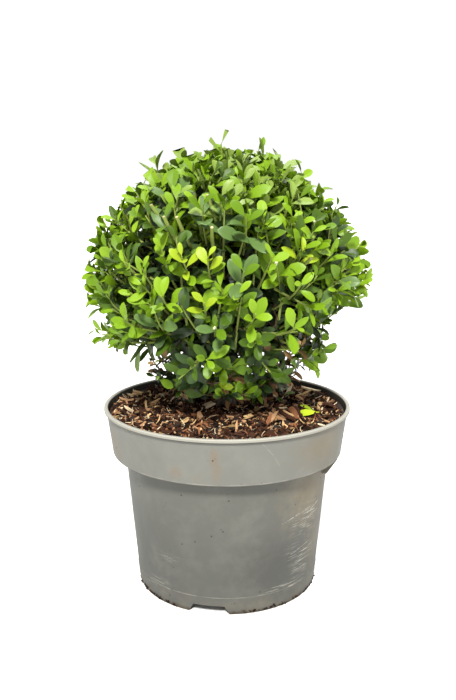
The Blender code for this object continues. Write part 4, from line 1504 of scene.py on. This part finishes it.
@dataclass
class Crown:
    """The clipped ball: limbs that fork into ever finer twigs, and leafy shoots all round.

    Its places are given by azimuth and elevation from the ball's middle, in degrees.
    """

    limbs: Limbs
    centre: Vector = field(default_factory=lambda: Vector((0, 0, 0.284)))
    radius: float = 0.1355
    stretch: float = 1.035
    floor: float = 0.2125
    floor_room: float = 0.004
    hollows: tuple[Hollow, ...] = (
        Hollow(80, 84, 0.0130, 48), Hollow(2, 44, 0.0120, 20), Hollow(178, 50, 0.0060, 14),
        Hollow(168, 50, 0.0050, 20), Hollow(192, -34, 0.0180, 14), Hollow(-155, -34, 0.0170, 13),
        Hollow(-30, -37, 0.0205, 12), Hollow(206, -10.5, 0.0200, 7), Hollow(193, -10.5, 0.0270, 7),
        Hollow(180, -10.5, 0.0240, 7), Hollow(167, -10.5, 0.0200, 7), Hollow(90, -30, 0.0120, 24),
        Hollow(250, -34, 0.0030, 22), Hollow(-42, -18, 0.0240, 17, 4), Hollow(-12, -21, 0.0340, 17, 7),
        Hollow(18, -21, 0.0340, 17, 7), Hollow(48, -18, 0.0240, 17, 4),
    )
    proud: tuple[tuple[float, float, float, Tone], ...] = (
        (-126, 86, 0.1373, Tone.HAZY), (-14, 77, 0.1340, Tone.USUAL), (-10, 74, 0.1285, Tone.HAZY),
        (-171, 72, 0.1262, Tone.HAZY), (-172, 60, 0.1355, Tone.HAZY), (-9, 66, 0.1290, Tone.HAZY),
        (-8, 19, 0.1385, Tone.FRESH), (-172, -5.5, 0.1365, Tone.USUAL), (-8, 57, 0.1315, Tone.FRESH),
        (-7, 47, 0.1280, Tone.USUAL), (-7, 37, 0.1319, Tone.OLD), (-10, 5, 0.1326, Tone.BRIGHT),
        (-14, 2, 0.1320, Tone.BRIGHT), (-170, -1, 0.1317, Tone.BRIGHT), (-167, -16, 0.1350, Tone.USUAL),
        (-163, -18, 0.1320, Tone.FRESH), (-166, -21, 0.1290, Tone.USUAL), (-158, -24, 0.1180, Tone.USUAL),
        (-13, -25, 0.1068, Tone.USUAL), (-16, -33, 0.1067, Tone.QUIET), (-35, -33, 0.1120, Tone.USUAL),
        (-30, -26, 0.1180, Tone.QUIET), (-24, -34, 0.1090, Tone.USUAL), (-112, -40, 0.1040, Tone.SHADY),
        (-119, -36, 0.1060, Tone.SHADY), (-92, -38, 0.1040, Tone.USUAL), (-75, -35, 0.1060, Tone.SHADY),
        (-66, -34, 0.1060, Tone.QUIET),
    )
    proud_room: float = 0.0085
    proud_start: float = 0.62
    proud_drop: float = 0.25
    proud_light: float = 40
    sprays: tuple[tuple[float, float, Tone], ...] = (
        (-98, 2, Tone.FLUSH), (-97, 18, Tone.FLUSH), (-107, 18, Tone.FLUSH), (-80, -2, Tone.BRIGHT),
        (-86, 5, Tone.FRESH), (-60, 33, Tone.BRIGHT), (-93, 42, Tone.HAZY), (-114, 4, Tone.BRIGHT),
        (-59, 20, Tone.FLUSH), (-73, 18, Tone.FRESH), (-123, 13, Tone.FRESH), (-53, 43, Tone.HAZY),
        (-107, 44, Tone.BRIGHT), (-64, -8, Tone.FRESH), (-132, 14, Tone.FRESH), (-98, -20, Tone.USUAL),
        (-128, 4, Tone.FRESH), (-62, 8, Tone.FRESH), (-132, -7, Tone.USUAL), (-80, 50, Tone.HAZY),
        (-82, 33, Tone.COOL), (-118, 32, Tone.COOL), (-101, 38, Tone.COOL), (-84, 13, Tone.COOL),
    )
    more_sprays: int = 26
    spray_azimuths: Span = (-35, 215)
    spray_elevations: Span = (-30, 45)
    clearing: float = 5
    dead: tuple[Span, ...] = (
        (-121.5, -26), (-65, -18.3), (-94.3, -13.1), (-57, -27), (-145, -30), (60, -30), (130, -30),
    )
    dead_spread: float = 3.2
    dead_leaf: float = 0.012
    gaps: tuple[Row, ...] = (
        (-104, 26, 11), (-91, 23, 5), (-71, 35, 6), (-111, -8, 6), (-126, 22, 6), (-95, 9, 5), (-101, -12, 6),
        (-50, 32, 5), (-64, 2, 5), (-80, 12, 5), (-106, 5, 5), (-78, 5, 4), (-76, -15, 5), (-72, -5, 5),
        (-117, -24, 7), (-150, 28, 5), (-84, -19, 5), (-73, -30, 6), (-96, -32, 6),
    )
    more_gaps: int = 22
    gap_spread: float = 5.5
    gap_azimuths: Span = (-30, 210)
    gap_elevations: Span = (-35, 60)
    # Spots of painted shade, where shoots take dark tones.
    shade: tuple[Span, ...] = (
        (-113, -29), (-104, -36), (-78, -28), (-66, -36), (-30, 24), (95, -30), (150, -32),
    )
    shade_spread: float = 13
    thin: tuple[Row, ...] = ((-62, -25, 7), (-46, -34, 9), (0, -47, 9), (-137, -32, 8), (120, -32, 9))
    thin_leaf: float = 0.015
    low_loss: float = 0.30
    shoots: int = 510
    clumps: int = 210
    clumping: float = 0.42
    outer_start: Span = (0.58, 0.70)
    bow: float = 0.004
    droop: float = 0.003
    crook: float = 0.0025
    leaves: tuple[int, int] = (6, 9)
    clipped_top: float = 0.70
    clipped_share: float = 0.4
    inner_shoots: int = 420
    inner_start: Span = (0.30, 0.42)
    inner_leaf: float = 0.019
    inner_leaves: int = 7
    inner_band: float = 0.17
    forks: int = 260
    fork_reach: Span = (0.15, 0.55)
    lowest: float = radians(-52)
    leaf_room: float = 0.0105
    leaf_length: tuple[float, float, float] = (0.0165, 0.0290, 0.0210)
    growth: dict[Tone, float] = field(
        default_factory=lambda: {
            Tone.FLUSH: 0.82, Tone.BRIGHT: 0.86, Tone.FRESH: 0.95, Tone.COOL: 1.16, Tone.HAZY: 1.06
        }
    )
    lift: float = 0.42
    lifting: Span = (0.3, 1.3)
    uneven: float = 0.004
    sway: float = 0.20
    balance: float = 0.35
    twig_radius: float = 0.00055
    thickening: float = 0.40
    heaviest_load: int = 40
    stubs: tuple[Row, ...] = (
        (-117.5, 32.4, -111.1, 18.7), (-95.9, 28.4, -97.5, 22.2), (-111.5, 32.5, -109.0, 24.0)
    )
    more_stubs: int = 15
    stub_radius: float = 0.0014
    stub_steps: int = 5
    stub_room: Span = (0.004, 0.011)
    stub_elevations: Span = (10, 72)
    stub_slant: float = 9
    cut_length: float = 0.0004
    buds: int = 36
    bud_spots: tuple[Span, ...] = ((-94.9, -5.5), (-68, 6.4))
    bud_radius: float = 0.0011
    bud_sizes: Span = (0.7, 1.2)
    bud_shift: float = 0.0012

    def swell(self, direction: Vector) -> float:
        """The ball's radius in this direction, without its hollows."""
        return self.radius * (1 + (self.stretch - 1) * max(direction.z, 0) ** 2)

    def reach(self, direction: Vector) -> float:
        """How far the leaves reach from the ball's centre in this direction."""
        reach = self.swell(direction) - sum(hollow.depth_at(direction) for hollow in self.hollows)
        room = self.centre.z - self.floor
        return min(reach, room / -direction.z) if direction.z < 0 else reach

    def inside(self, point: Vector) -> bool:
        """Whether a point is in the space that most leaves keep to."""
        offset = point - self.centre
        return point.z > self.floor and offset.length < self.reach(offset.normalized())

    def inside_proud(self, point: Vector) -> bool:
        """Whether a point is in the larger space that the proud shoots keep to."""
        offset = point - self.centre
        return point.z > self.floor - self.floor_room and offset.length < self.swell(offset.normalized())

    def thin_at(self, way: Vector) -> bool:
        """Whether the ball is thin this way, with bare twigs and dead leaves."""
        return any(heading(*spot).angle(way) < radians(spread) for *spot, spread in self.thin)

    def direction(self, index: float, count: float) -> Vector:
        """The direction of one of many shoots, spread evenly in a spiral, a little out of true."""
        height = 1 - (1 - sin(self.lowest)) * (index + 0.5) / count + random.uniform(-0.03, 0.03)
        azimuth = index * GOLDEN_ANGLE + random.uniform(-0.08, 0.08)
        height = max(-1, min(1, height))
        return polar(sqrt(1 - height * height), azimuth, height)

    def tone(self, direction: Vector) -> Tone:
        """Draw the tone of a shoot: darker low down and at the spots of shade, as painted shade, and pale
        with painted sheen on top.
        """
        low = max(0, min(1, (-direction.z - 0.10) * 2.2))
        top = max(0, min(1, (direction.z - 0.45) * 2.4))
        # Painted shade: dark tones at the spots of shade.
        if any(heading(*spot).angle(direction) < radians(self.shade_spread) for spot in self.shade):
            return random.choice((Tone.OLD, Tone.SHADY, Tone.QUIET))
        side = abs(direction.x) ** 2
        # Darker tones low down are painted shade, and the sheened tone on top is painted sheen.
        weights = {
            Tone.OLD: 0.08 + 0.12 * low - 0.08 * top,
            Tone.SHADY: 0.26 * low,
            Tone.QUIET: 0.14 + 0.20 * low - 0.13 * top + 0.08 * side,
            Tone.COOL: 0.14 - 0.04 * low - 0.12 * top,
            Tone.USUAL: 0.20 - 0.08 * top + 0.10 * side,
            Tone.FRESH: 0.24 - 0.14 * low - 0.02 * top,
            Tone.BRIGHT: 0.15 - 0.12 * low - 0.12 * top - 0.05 * side,
            Tone.FLUSH: 0.03 - 0.03 * top - 0.03 * low,
            Tone.DEAD: 0.05 * low,
            Tone.HAZY: 0.02 + 0.80 * top,
        }
        return Tone.drawn(weights)

    def grown(self, direction: Vector, start: Vector, tip: Vector, tone: Tone) -> Grown:
        """Make one outer shoot from these ends, or a dead one where the ball has such a place."""
        bend = start.lerp(tip, 0.5) + direction * self.bow - UP * self.droop
        bend += Vector([random.gauss(0, self.crook) for _ in range(3)])
        seen = start.lerp(tip, 0.8) - self.centre
        leaves = random.randint(*self.leaves)
        length = random.triangular(*self.leaf_length) * self.growth.get(tone, 1)
        clipped = direction.z > self.clipped_top and random.random() < self.clipped_share
        if any(heading(*spot).angle(seen) < radians(self.dead_spread) for spot in self.dead):
            tone, leaves, length = Tone.DEAD, 3, self.dead_leaf
        if self.thin_at(seen):
            tone, leaves, length = Tone.DEAD, random.choice((0, 0, 4)), self.thin_leaf
        return Shoot(start, tip, bend, leaves, length, tone.value, 0.25, clipped), direction

    def outer_shoots(self) -> list[Grown]:
        """The shoots whose leaves make the ball's surface, in clumps, each with its way out."""
        clumps = [self.direction(index, self.clumps) for index in range(self.clumps)]
        gaps = [(heading(azimuth, level), spread) for azimuth, level, spread in self.gaps]
        gaps += [(heading(azimuth, level), self.clearing) for azimuth, level, _ in self.sprays]
        for _ in range(self.more_gaps):
            way = heading(random.uniform(*self.gap_azimuths), random.uniform(*self.gap_elevations))
            gaps.append((way, self.gap_spread))
        shoots = []
        for index in range(self.shoots):
            direction = self.direction(index, self.shoots)
            direction = direction.lerp(max(clumps, key=direction.dot), self.clumping).normalized()
            bent = (direction + UP * self.lift * random.uniform(*self.lifting)).normalized()
            reach = self.reach(bent) - self.leaf_room - abs(random.gauss(0, self.uneven))
            tip = self.centre + bent * reach
            inward = (direction + Vector([random.gauss(0, self.sway) for _ in range(3)])).normalized()
            start = self.centre + inward * self.reach(inward) * random.uniform(*self.outer_start)
            middle = direction + bent
            open_here = any(degrees(way.angle(middle)) < spread for way, spread in gaps)
            open_here |= random.random() < self.low_loss * min(1, max(0, -0.15 - direction.z) * 4)
            if tip.z > self.floor + self.floor_room and not open_here:
                shoots.append(self.grown(direction, start, tip, self.tone(middle.normalized())))
        return shoots

    def proud_shoots(self) -> list[Grown]:
        """The few shoots that stand proud of the others, each with its way out."""
        sprays = list(self.sprays)
        for _ in range(self.more_sprays):
            tone = random.choice((Tone.FLUSH, Tone.BRIGHT, Tone.BRIGHT, Tone.FRESH))
            azimuth = random.uniform(*self.spray_azimuths)
            sprays.append((azimuth, random.uniform(*self.spray_elevations), tone))
        places = list(self.proud)
        for azimuth, elevation, tone in sprays:
            places.append((azimuth, elevation, self.reach(heading(azimuth, elevation)), tone))
        shoots = []
        for azimuth, elevation, reach, tone in places:
            direction = heading(azimuth, elevation)
            tip = self.centre + direction * (reach - self.proud_room)
            low = direction - UP * self.proud_drop
            start = self.centre + low * self.reach(low.normalized()) * self.proud_start
            shoot, _ = self.grown(direction, start, tip, tone)
            shoots.append((shoot, heading(azimuth, min(elevation, self.proud_light))))
        return shoots

    def deep_shoots(self) -> list[Grown]:
        """The older shoots inside, whose dark leaves close the gaps between the outer ones as painted shade;
        near the top their leaves are bright instead, as painted light.
        """
        shoots = []
        for index in range(self.inner_shoots):
            direction = self.direction(index * 1.618 + 0.3, self.inner_shoots * 1.618)
            start = self.centre + direction * self.reach(direction) * random.uniform(*self.inner_start)
            far = 0.74 + 0.10 * max(0, direction.z - 0.4)
            tip = self.centre + direction * self.reach(direction) * random.uniform(far - self.inner_band, far)
            bend = start.lerp(tip, 0.5) + UP * random.uniform(-0.006, 0.006)
            # Dark tones inside are painted shade; near the top, bright ones are painted light that hides the
            # dark gaps.
            tones = (Tone.INNER,) * 5 + (Tone.SHADY, Tone.QUIET)
            if direction.z > 0.5:
                tones = (Tone.FRESH, Tone.HAZY, Tone.FLUSH)
            leaves = 0 if self.thin_at(direction) else self.inner_leaves
            tints = random.choice(tones).value
            shoots.append((Shoot(start, tip, bend, leaves, self.inner_leaf, tints, 0.35), direction))
        return shoots

    def add_stubs(self, bark: Strands, ends: Strands) -> list[Vector]:
        """Add the cut ends of thick shoots, with pale wood at the cut.

        Args:
            bark: The strands of green bark.
            ends: The strands of pale wood.

        Returns:
            The foot of each one.
        """
        stubs = list(self.stubs)
        for _ in range(self.more_stubs):
            azimuth = random.uniform(-180, 180)
            elevation = random.uniform(*self.stub_elevations)
            foot = azimuth + random.uniform(-self.stub_slant, self.stub_slant)
            stubs.append((azimuth, elevation, foot, elevation - self.stub_slant))
        feet = []
        for azimuth, elevation, foot_azimuth, foot_elevation in stubs:
            way = heading(azimuth, elevation)
            tip = self.centre + way * (self.reach(way) - random.uniform(*self.stub_room))
            way = heading(foot_azimuth, foot_elevation)
            start = self.centre + way * self.reach(way) * self.proud_start
            route = curve_of(start, start.lerp(tip, 0.6) + way * 0.008, tip, self.stub_steps)
            shares = [step / self.stub_steps for step in range(len(route))]
            bark.add(route, [self.stub_radius * (1.15 - 0.15 * share) for share in shares])
            along = (route[-1] - route[-2]).normalized()
            ends.add([tip, tip + along * self.cut_length], [self.stub_radius * 0.92] * 2)
            feet.append(start)
        return feet

    def add_buds(self, shoots: Sequence[Grown]) -> None:
        """Set small cream flower buds on the tips of shoots, and at the spots given for some."""
        bm = bmesh.new()
        bmesh.ops.create_icosphere(bm, subdivisions=1, radius=1)
        swarm = Swarm([Shape(mesh_of("bud", bm))])
        tips = [shoot.end for shoot, _ in shoots]
        chosen = random.sample(tips, self.buds)
        for azimuth, elevation in self.bud_spots:
            spot = self.centre + heading(azimuth, elevation) * self.radius
            chosen += [min(tips, key=lambda tip: (tip - spot).length)] * 4
        for tip in chosen:
            shift = [random.uniform(-self.bud_shift, self.bud_shift) for _ in range(3)]
            place = tip + Vector(shift)
            size = self.bud_radius * random.uniform(*self.bud_sizes)
            swarm.add(0, Matrix.Translation(place) @ Matrix.Scale(size, 4))
        cream = PlainFinish("bud_cream", (0.50, 0.50, 0.30), (0.5, 0.7), 900)
        add_piece("crown_buds", swarm.mesh(), [cream.material()], 60)

    def network(self, sources: Sequence[Vector], targets: Sequence[Vector]) -> tuple[np.ndarray, ...]:
        """Join twig ends to limb tips by short ways that don't stray far from straight.

        Args:
            sources: Where the limbs end.
            targets: The places that a twig has to reach.

        Returns:
            The places of all of them, the place that each one grows from, and the number of ends
            that each one carries.
        """
        places = np.array([tuple(place) for place in (*sources, *targets)])
        parents = np.full(len(places), -1)
        travelled = np.zeros(len(places))
        cost = np.full(len(places), np.inf)
        joined = np.arange(len(places)) < len(sources)
        order = []
        for pick in range(len(places)):
            if pick >= len(sources):
                pick = int(np.argmin(np.where(joined, np.inf, cost)))
                parent = parents[pick]
                travelled[pick] = travelled[parent] + np.linalg.norm(places[pick] - places[parent])
                joined[pick] = True
            order.append(pick)
            away = np.linalg.norm(places - places[pick], axis=1) + self.balance * travelled[pick]
            closer = (away < cost) & ~joined
            cost[closer] = away[closer]
            parents[closer] = pick
        loads = np.ones(len(places))
        for index in reversed(order):
            if parents[index] >= 0:
                loads[parents[index]] += loads[index]
        return places, parents, loads

    def add_branches(self, strands: Strands, sources: Sequence[Vector], targets: Sequence[Vector]) -> None:
        """Grow the branches between the limb tips and the shoots."""
        places, parents, loads = self.network(sources, targets)
        heaviest = {
            int(parents[index]): int(index) for index in np.argsort(loads) if parents[index] >= 0
        }
        drawn = set(range(len(sources)))
        for index in np.argsort(-loads):
            if index in drawn:
                continue
            chain = [int(index)]
            while chain[-1] in heaviest:
                chain.append(heaviest[chain[-1]])
            drawn.update(chain)
            chain.insert(0, int(parents[index]))
            route = [Vector(places[node]) for node in chain]
            carried = [min(loads[node], self.heaviest_load) for node in chain]
            radii = [self.twig_radius * load**self.thickening for load in carried]
            strands.add(*self.smoothed(route, [radii[1], *radii[1:]]))

    @staticmethod
    def smoothed(route: list[Vector], radii: list[float]) -> tuple[list[Vector], list[float]]:
        """Put two points on a smooth curve in the place of each corner of a route."""
        smooth, widths = [route[0]], [radii[0]]
        for before, here, after, width in zip(route, route[1:], route[2:], radii[1:]):
            smooth += [here.lerp(before, 0.3), here.lerp(after, 0.3)]
            widths += [width, width]
        return [*smooth, route[-1]], [*widths, radii[-1]]

    def build(
        self, materials: dict[Tint, list[Material]], sources: Sequence[Vector], shapes: Sequence[Shape]
    ) -> None:
        """Grow the whole ball and dress it.

        Args:
            materials: The materials of each leaf tint.
            sources: Where the limbs end.
            shapes: The shapes of the leaves.
        """
        foliage = Foliage("crown_leaves", shapes)
        green, brown, ends = Strands("crown_shoots"), Strands("crown_twigs"), Strands("crown_cut_ends", 7)
        outer, proud, deep = self.outer_shoots(), self.proud_shoots(), self.deep_shoots()
        for shoots, rule in (
            (outer, Growth(self.inside, foliage, green)),
            (proud, Growth(self.inside_proud, foliage, green)),
            (deep, Growth(self.inside, foliage, brown, light=0.3, kinds=INNER_KINDS)),
        ):
            for shoot, direction in shoots:
                rule.add(shoot, direction)
        targets = [shoot.start for shoot, _ in (*outer, *proud, *deep)]
        targets += self.add_stubs(green, ends)
        for index in range(self.forks):
            direction = self.direction(index + 0.5, self.forks)
            spot = self.centre + direction * self.radius * random.uniform(*self.fork_reach)
            if spot.z > self.limbs.dish_height(spot.xy.length):
                targets.append(spot)
        self.add_branches(brown, sources, targets)
        self.add_buds(outer)
        fresh = PlainFinish("shoot_green", (0.200, 0.250, 0.055), (0.45, 0.6), 700)
        add_piece("crown_shoots", green.mesh(), [fresh.material()])
        wood = PlainFinish("cut_wood", (0.50, 0.40, 0.23), (0.6, 0.8), 900)
        add_piece("crown_cut_ends", ends.mesh(), [wood.material()])
        old = PlainFinish("twig_brown", (0.082, 0.054, 0.032), (0.7, 0.9), 600)
        piece = add_piece("crown_twigs", brown.mesh(), [old.material()])
        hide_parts("foliage_ball")
        foliage.build(materials)


@dataclass
class LowSprigs:
    """The small open masses of leaves low round the trunk, one on each low bough.

    A leaf that has fallen is given by its x, y, length, turn and tint.
    """

    limbs: Limbs
    mulch: Mulch
    floor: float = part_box("soil")[1].z + 0.001
    ceiling: float = 0.2120
    foot_reach: float = 0.042
    widening: float = 1.15
    overlap: float = 0.15
    shoots: int = 19
    shoot_length: Span = (0.016, 0.028)
    leaves: Span = (6, 9)
    leaf_length: Span = (0.012, 0.0175)
    front_leaf: float = 0.0200
    front_leaves: int = 8
    bare: float = 0.16
    twig_radii: Span = (0.0009, 0.0005)
    stem_radii: Row = (0.0013, 0.0010, 0.0006)
    stem_reach: float = 0.034
    stem_rise: float = 0.005
    sag: float = 0.002
    front: tuple[tuple[Row, Tone], ...] = (
        ((0.0060, -0.0680, 0.2060), Tone.FLUSH),
        ((-0.0018, -0.0660, 0.1990), Tone.FRESH),
        ((0.0176, -0.0650, 0.1990), Tone.FRESH),
        ((-0.0203, -0.0620, 0.1985), Tone.QUIET),
        ((-0.0300, -0.0560, 0.2080), Tone.SHADY),
        ((0.0300, -0.0580, 0.2050), Tone.USUAL),
    )
    fallen: tuple[tuple[float, float, float, float, Tint], ...] = (
        (0.0850, -0.0300, 0.020, 190, Tint.YELLOW),
        (0.0800, -0.0260, 0.014, 150, Tint.LIME),
        (-0.0466, 0.0189, 0.010, 60, Tint.LIME),
        (-0.0398, 0.0435, 0.014, -60, Tint.TAN),
    )
    more_fallen: int = 12
    fallen_lift: float = 0.0032
    fallen_radii: Span = (0.03, 0.10)
    fallen_lengths: Span = (0.008, 0.013)
    fallen_tilts: Span = (-4, 14)
    ahead: Span = (-0.1, 0.9)
    aside: Span = (0.2, 1.1)
    upward: Span = (-0.30, 0.95)

    def inside(self, index: int) -> Callable[[Vector], bool]:
        """Make the test for the space of one sprig, a sector between the mulch and the ball."""
        room = pi / self.limbs.low_boughs + self.overlap

        def test(point: Vector) -> bool:
            """Whether the point is in that sector."""
            turn = atan2(point.y, point.x) - self.limbs.low_azimuth(index)
            turn = (turn + pi) % tau - pi
            limit = self.foot_reach + self.widening * (point.z - self.floor)
            return self.floor < point.z < self.ceiling and point.xy.length < limit and abs(turn) < room

        return test

    def tone(self, azimuth: float) -> Tone:
        """Draw the tone of a low shoot, with dead ones mostly to the left and the right."""
        dead = 0.10 + 0.60 * abs(cos(azimuth))
        return Tone.drawn(
            {Tone.SHADY: 0.46, Tone.QUIET: 0.34, Tone.USUAL: 0.10, Tone.FRESH: 0.03, Tone.DEAD: dead}
        )

    def scatter(self, foliage: Foliage) -> None:
        """Lay the fallen leaves on the mulch."""
        fallen = list(self.fallen)
        for _ in range(self.more_fallen):
            spot = polar(random.uniform(*self.fallen_radii), random.uniform(0, tau))
            tint = random.choice((Tint.BROWN, Tint.TAN, Tint.BROWN, Tint.MID))
            length = random.uniform(*self.fallen_lengths)
            fallen.append((spot.x, spot.y, length, random.uniform(0, 360), tint))
        for x, y, length, azimuth, tint in fallen:
            spot = Vector((x, y, self.mulch.height_at(hypot(x, y)) + self.fallen_lift))
            forward = heading(azimuth, random.uniform(*self.fallen_tilts))
            facing = UP + polar(0.5, random.uniform(pi, tau))
            foliage.add(tint, random.randrange(*OUTER_KINDS), frame_at(spot, forward, facing, length))

    def grow(self, rule: Growth, index: int, route: Sequence[Vector]) -> None:
        """Grow one sprig: the stem that a low bough goes on in, and its shoots to both sides.

        Args:
            rule: The rule that its shoots grow by.
            index: The number of its bough.
            route: The bough's route.
        """
        foot = route[-1]
        outward = (foot - route[-2]).normalized()
        across = outward.cross(UP).normalized()
        end = foot + outward * self.stem_reach + UP * self.stem_rise
        rule.strands.add([foot, foot.lerp(end, 0.5), end], self.stem_radii)
        for number in range(self.shoots):
            side = (number % 2) * 2 - 1
            start = foot.lerp(end, (number + 0.5) / self.shoots * 1.15 - 0.2)
            aim = outward * random.uniform(*self.ahead) + across * side * random.uniform(*self.aside)
            aim = (aim + UP * random.uniform(*self.upward)).normalized()
            tip = start + aim * random.uniform(*self.shoot_length)
            tints = self.tone(self.limbs.low_azimuth(index)).value
            bend = start.lerp(tip, 0.5) - UP * self.sag
            length = random.uniform(*self.leaf_length)
            leaves = 0 if random.random() < self.bare else random.randint(*self.leaves)
            rule.add(Shoot(start, tip, bend, leaves, length, tints, 0.3), outward)

    def grow_front(self, rule: Growth, foot: Vector) -> None:
        """Grow the shoots that the photo shows in front, from the end of the first low bough."""
        for place, tone in self.front:
            tip = Vector(place)
            start = foot.lerp(Vector((tip.x, tip.y, foot.z)), 0.3)
            rule.strands.add([foot, start], [self.twig_radii[0]] * 2)
            bend = start.lerp(tip, 0.5) - UP * self.sag
            rule.add(Shoot(start, tip, bend, self.front_leaves, self.front_leaf, tone.value, 0.5), FRONT)

    def build(
        self, materials: dict[Tint, list[Material]], routes: Sequence[list[Vector]], shapes: Sequence[Shape]
    ) -> None:
        """Grow the low sprigs and dress them.

        Args:
            materials: The materials of each leaf tint.
            routes: The routes of the low boughs.
            shapes: The shapes of the leaves.
        """
        foliage = Foliage("low_leaves", shapes)
        strands = Strands("low_twigs")
        rules = [
            Growth(self.inside(index), foliage, strands, twig_radii=self.twig_radii)
            for index in range(len(routes))
        ]
        for index, (rule, route) in enumerate(zip(rules, routes)):
            self.grow(rule, index, route)
        self.grow_front(rules[0], routes[0][-1])
        self.scatter(foliage)
        finish = PlainFinish("low_twig_brown", (0.105, 0.068, 0.040), (0.7, 0.9), 600)
        piece = add_piece("low_twigs", strands.mesh(), [finish.material()])
        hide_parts(*(f"low_sprig_{index + 1}" for index in range(len(routes))))
        foliage.build(materials)


@dataclass(frozen=True)
class SoftSun:
    """A wide distant light, as from a large bright window."""

    name: str
    azimuth: float
    elevation: float
    strength: float
    spread: float
    colour: Colour

    def build(self) -> None:
        """Make the light, which shines towards the plant."""
        light = helper(self.name, bpy.data.lights.new(self.name, "SUN"))
        light.data.energy = self.strength
        light.data.angle = radians(self.spread)
        light.data.color = self.colour
        away = heading(self.azimuth, self.elevation)
        light.location = away * 3
        light.rotation_euler = (-away).to_track_quat("-Z", "Y").to_euler()


@dataclass
class Studio:
    """The camera at the photo's angle, a pale floor and soft light."""

    distance: float = 0.738
    height: float = 0.3817
    pitch: float = 0.210
    lens: float = 41.14
    shift: float = 0.0014
    horizon: float = 1.02
    zenith: float = 0.42
    dimming: Span = (0.22, 0.50)
    floor_size: float = 20
    suns: tuple[SoftSun, ...] = (
        SoftSun("key", -94, 47, 6.2, 12, (1, 0.985, 0.93)),
        SoftSun("top", 80, 70, 2.0, 36, (0.98, 0.99, 1)),
    )

    def world(self) -> World:
        """Make the pale surroundings, white round the horizon and dimmer overhead."""
        world = bpy.data.worlds.new("studio")
        world.use_nodes = True
        tree = world.node_tree
        place = tree.nodes.new("ShaderNodeTexCoord")
        parts = tree.nodes.new("ShaderNodeSeparateXYZ")
        level = tree.nodes.new("ShaderNodeMapRange")
        ends = zip(("From Min", "From Max", "To Min", "To Max"), (*self.dimming, self.horizon, self.zenith))
        for name, value in ends:
            level.inputs[name].default_value = value
        background = tree.nodes["Background"]
        background.inputs["Color"].default_value = (1, 1, 1, 1)
        tree.links.new(place.outputs["Generated"], parts.inputs[0])
        tree.links.new(parts.outputs["Z"], level.inputs["Value"])
        tree.links.new(level.outputs[0], background.inputs["Strength"])
        return world

    def build(self) -> None:
        """Make the camera, the floor and the lights."""
        scene = bpy.context.scene
        scene.view_settings.view_transform = "Standard"
        camera = helper("camera", bpy.data.cameras.new("camera"))
        camera.data.lens = self.lens
        camera.data.shift_x = self.shift
        camera.location = (0, -self.distance, self.height)
        camera.rotation_euler = (pi / 2 - self.pitch, 0, 0)
        scene.camera = camera
        scene.world = self.world()
        bm = bmesh.new()
        bmesh.ops.create_grid(bm, x_segments=1, y_segments=1, size=self.floor_size)
        floor = helper("floor", mesh_of("floor", bm))
        graph = Graph("floor_white")
        floor.data.materials.append(graph.dress(Base_Color=(0.84, 0.84, 0.84, 1), Roughness=0.9))
        for sun in self.suns:
            sun.build()


def leaf_shapes() -> list[Shape]:
    """Make the leaves' shapes: ten for outside, three plainer ones for inside, two clipped."""
    outer = (
        (0.43, 0.35, 0.12, 0.0, 0.66, 1.05),
        (0.39, 0.60, 0.06, 0.15, 0.72, 0.95),
        (0.45, 0.22, 0.20, -0.2, 0.62, 1.10),
        (0.41, 0.45, -0.08, 0.1, 0.70, 1.00),
        (0.49, 0.30, 0.10, 0.0, 0.58, 1.05),
        (0.38, 0.75, 0.16, -0.1, 0.74, 0.95),
        (0.42, 0.15, 0.26, 0.2, 0.68, 1.05),
        (0.46, 0.40, 0.24, -0.15, 0.60, 1.20),
        (0.35, 0.40, -0.12, 0.25, 0.80, 0.90),
        (0.41, 0.55, 0.30, 0.0, 0.64, 1.15),
    )
    plain = {"rows": (0, 0.12, 0.40, 0.70, 0.92, 1), "columns": (-1, 0, 1), "lines": ()}
    inner = ((0.48, 0.2, 0.1), (0.44, 0.4, 0.0), (0.52, -0.1, 0.2))
    short = (0, 0.18, 0.48, 0.84, 1)
    leaves = [
        *(LeafShape(*sizes) for sizes in outer),
        *(LeafShape(*sizes, **plain) for sizes in inner),
        LeafShape(0.62, 0.25, 0.05, cut=0.66, rows=short),
        LeafShape(0.56, 0.45, -0.05, 0.2, cut=0.58, rows=short),
    ]
    return [Shape(leaf.mesh()) for leaf in leaves]


def main() -> None:
    """Build every piece in order."""
    logging.basicConfig(level=logging.INFO, format="%(message)s")
    random.seed(SEED)
    Studio().build()
    pot = Pot()
    pot.build()
    mulch = Mulch(pot)
    mulch.build()
    limbs = Limbs()
    routes = {"leader": limbs.leader_route()}
    for index in range(limbs.boughs):
        routes[f"bough_{index + 1}"] = limbs.bough_route(index)
    for index in range(limbs.low_boughs):
        routes[f"low_bough_{index + 1}"] = limbs.low_route(index)
    limbs.build(routes)
    materials = {tint: tint.value.materials(tint.name.lower()) for tint in Tint}
    shapes = leaf_shapes()
    high = [route for name, route in routes.items() if not name.startswith("low")]
    Crown(limbs).build(materials, [route[-1] for route in high], shapes)
    low = [route for name, route in routes.items() if name.startswith("low")]
    LowSprigs(limbs, mulch).build(materials, low, shapes)


if __name__ == "__main__":
    main()
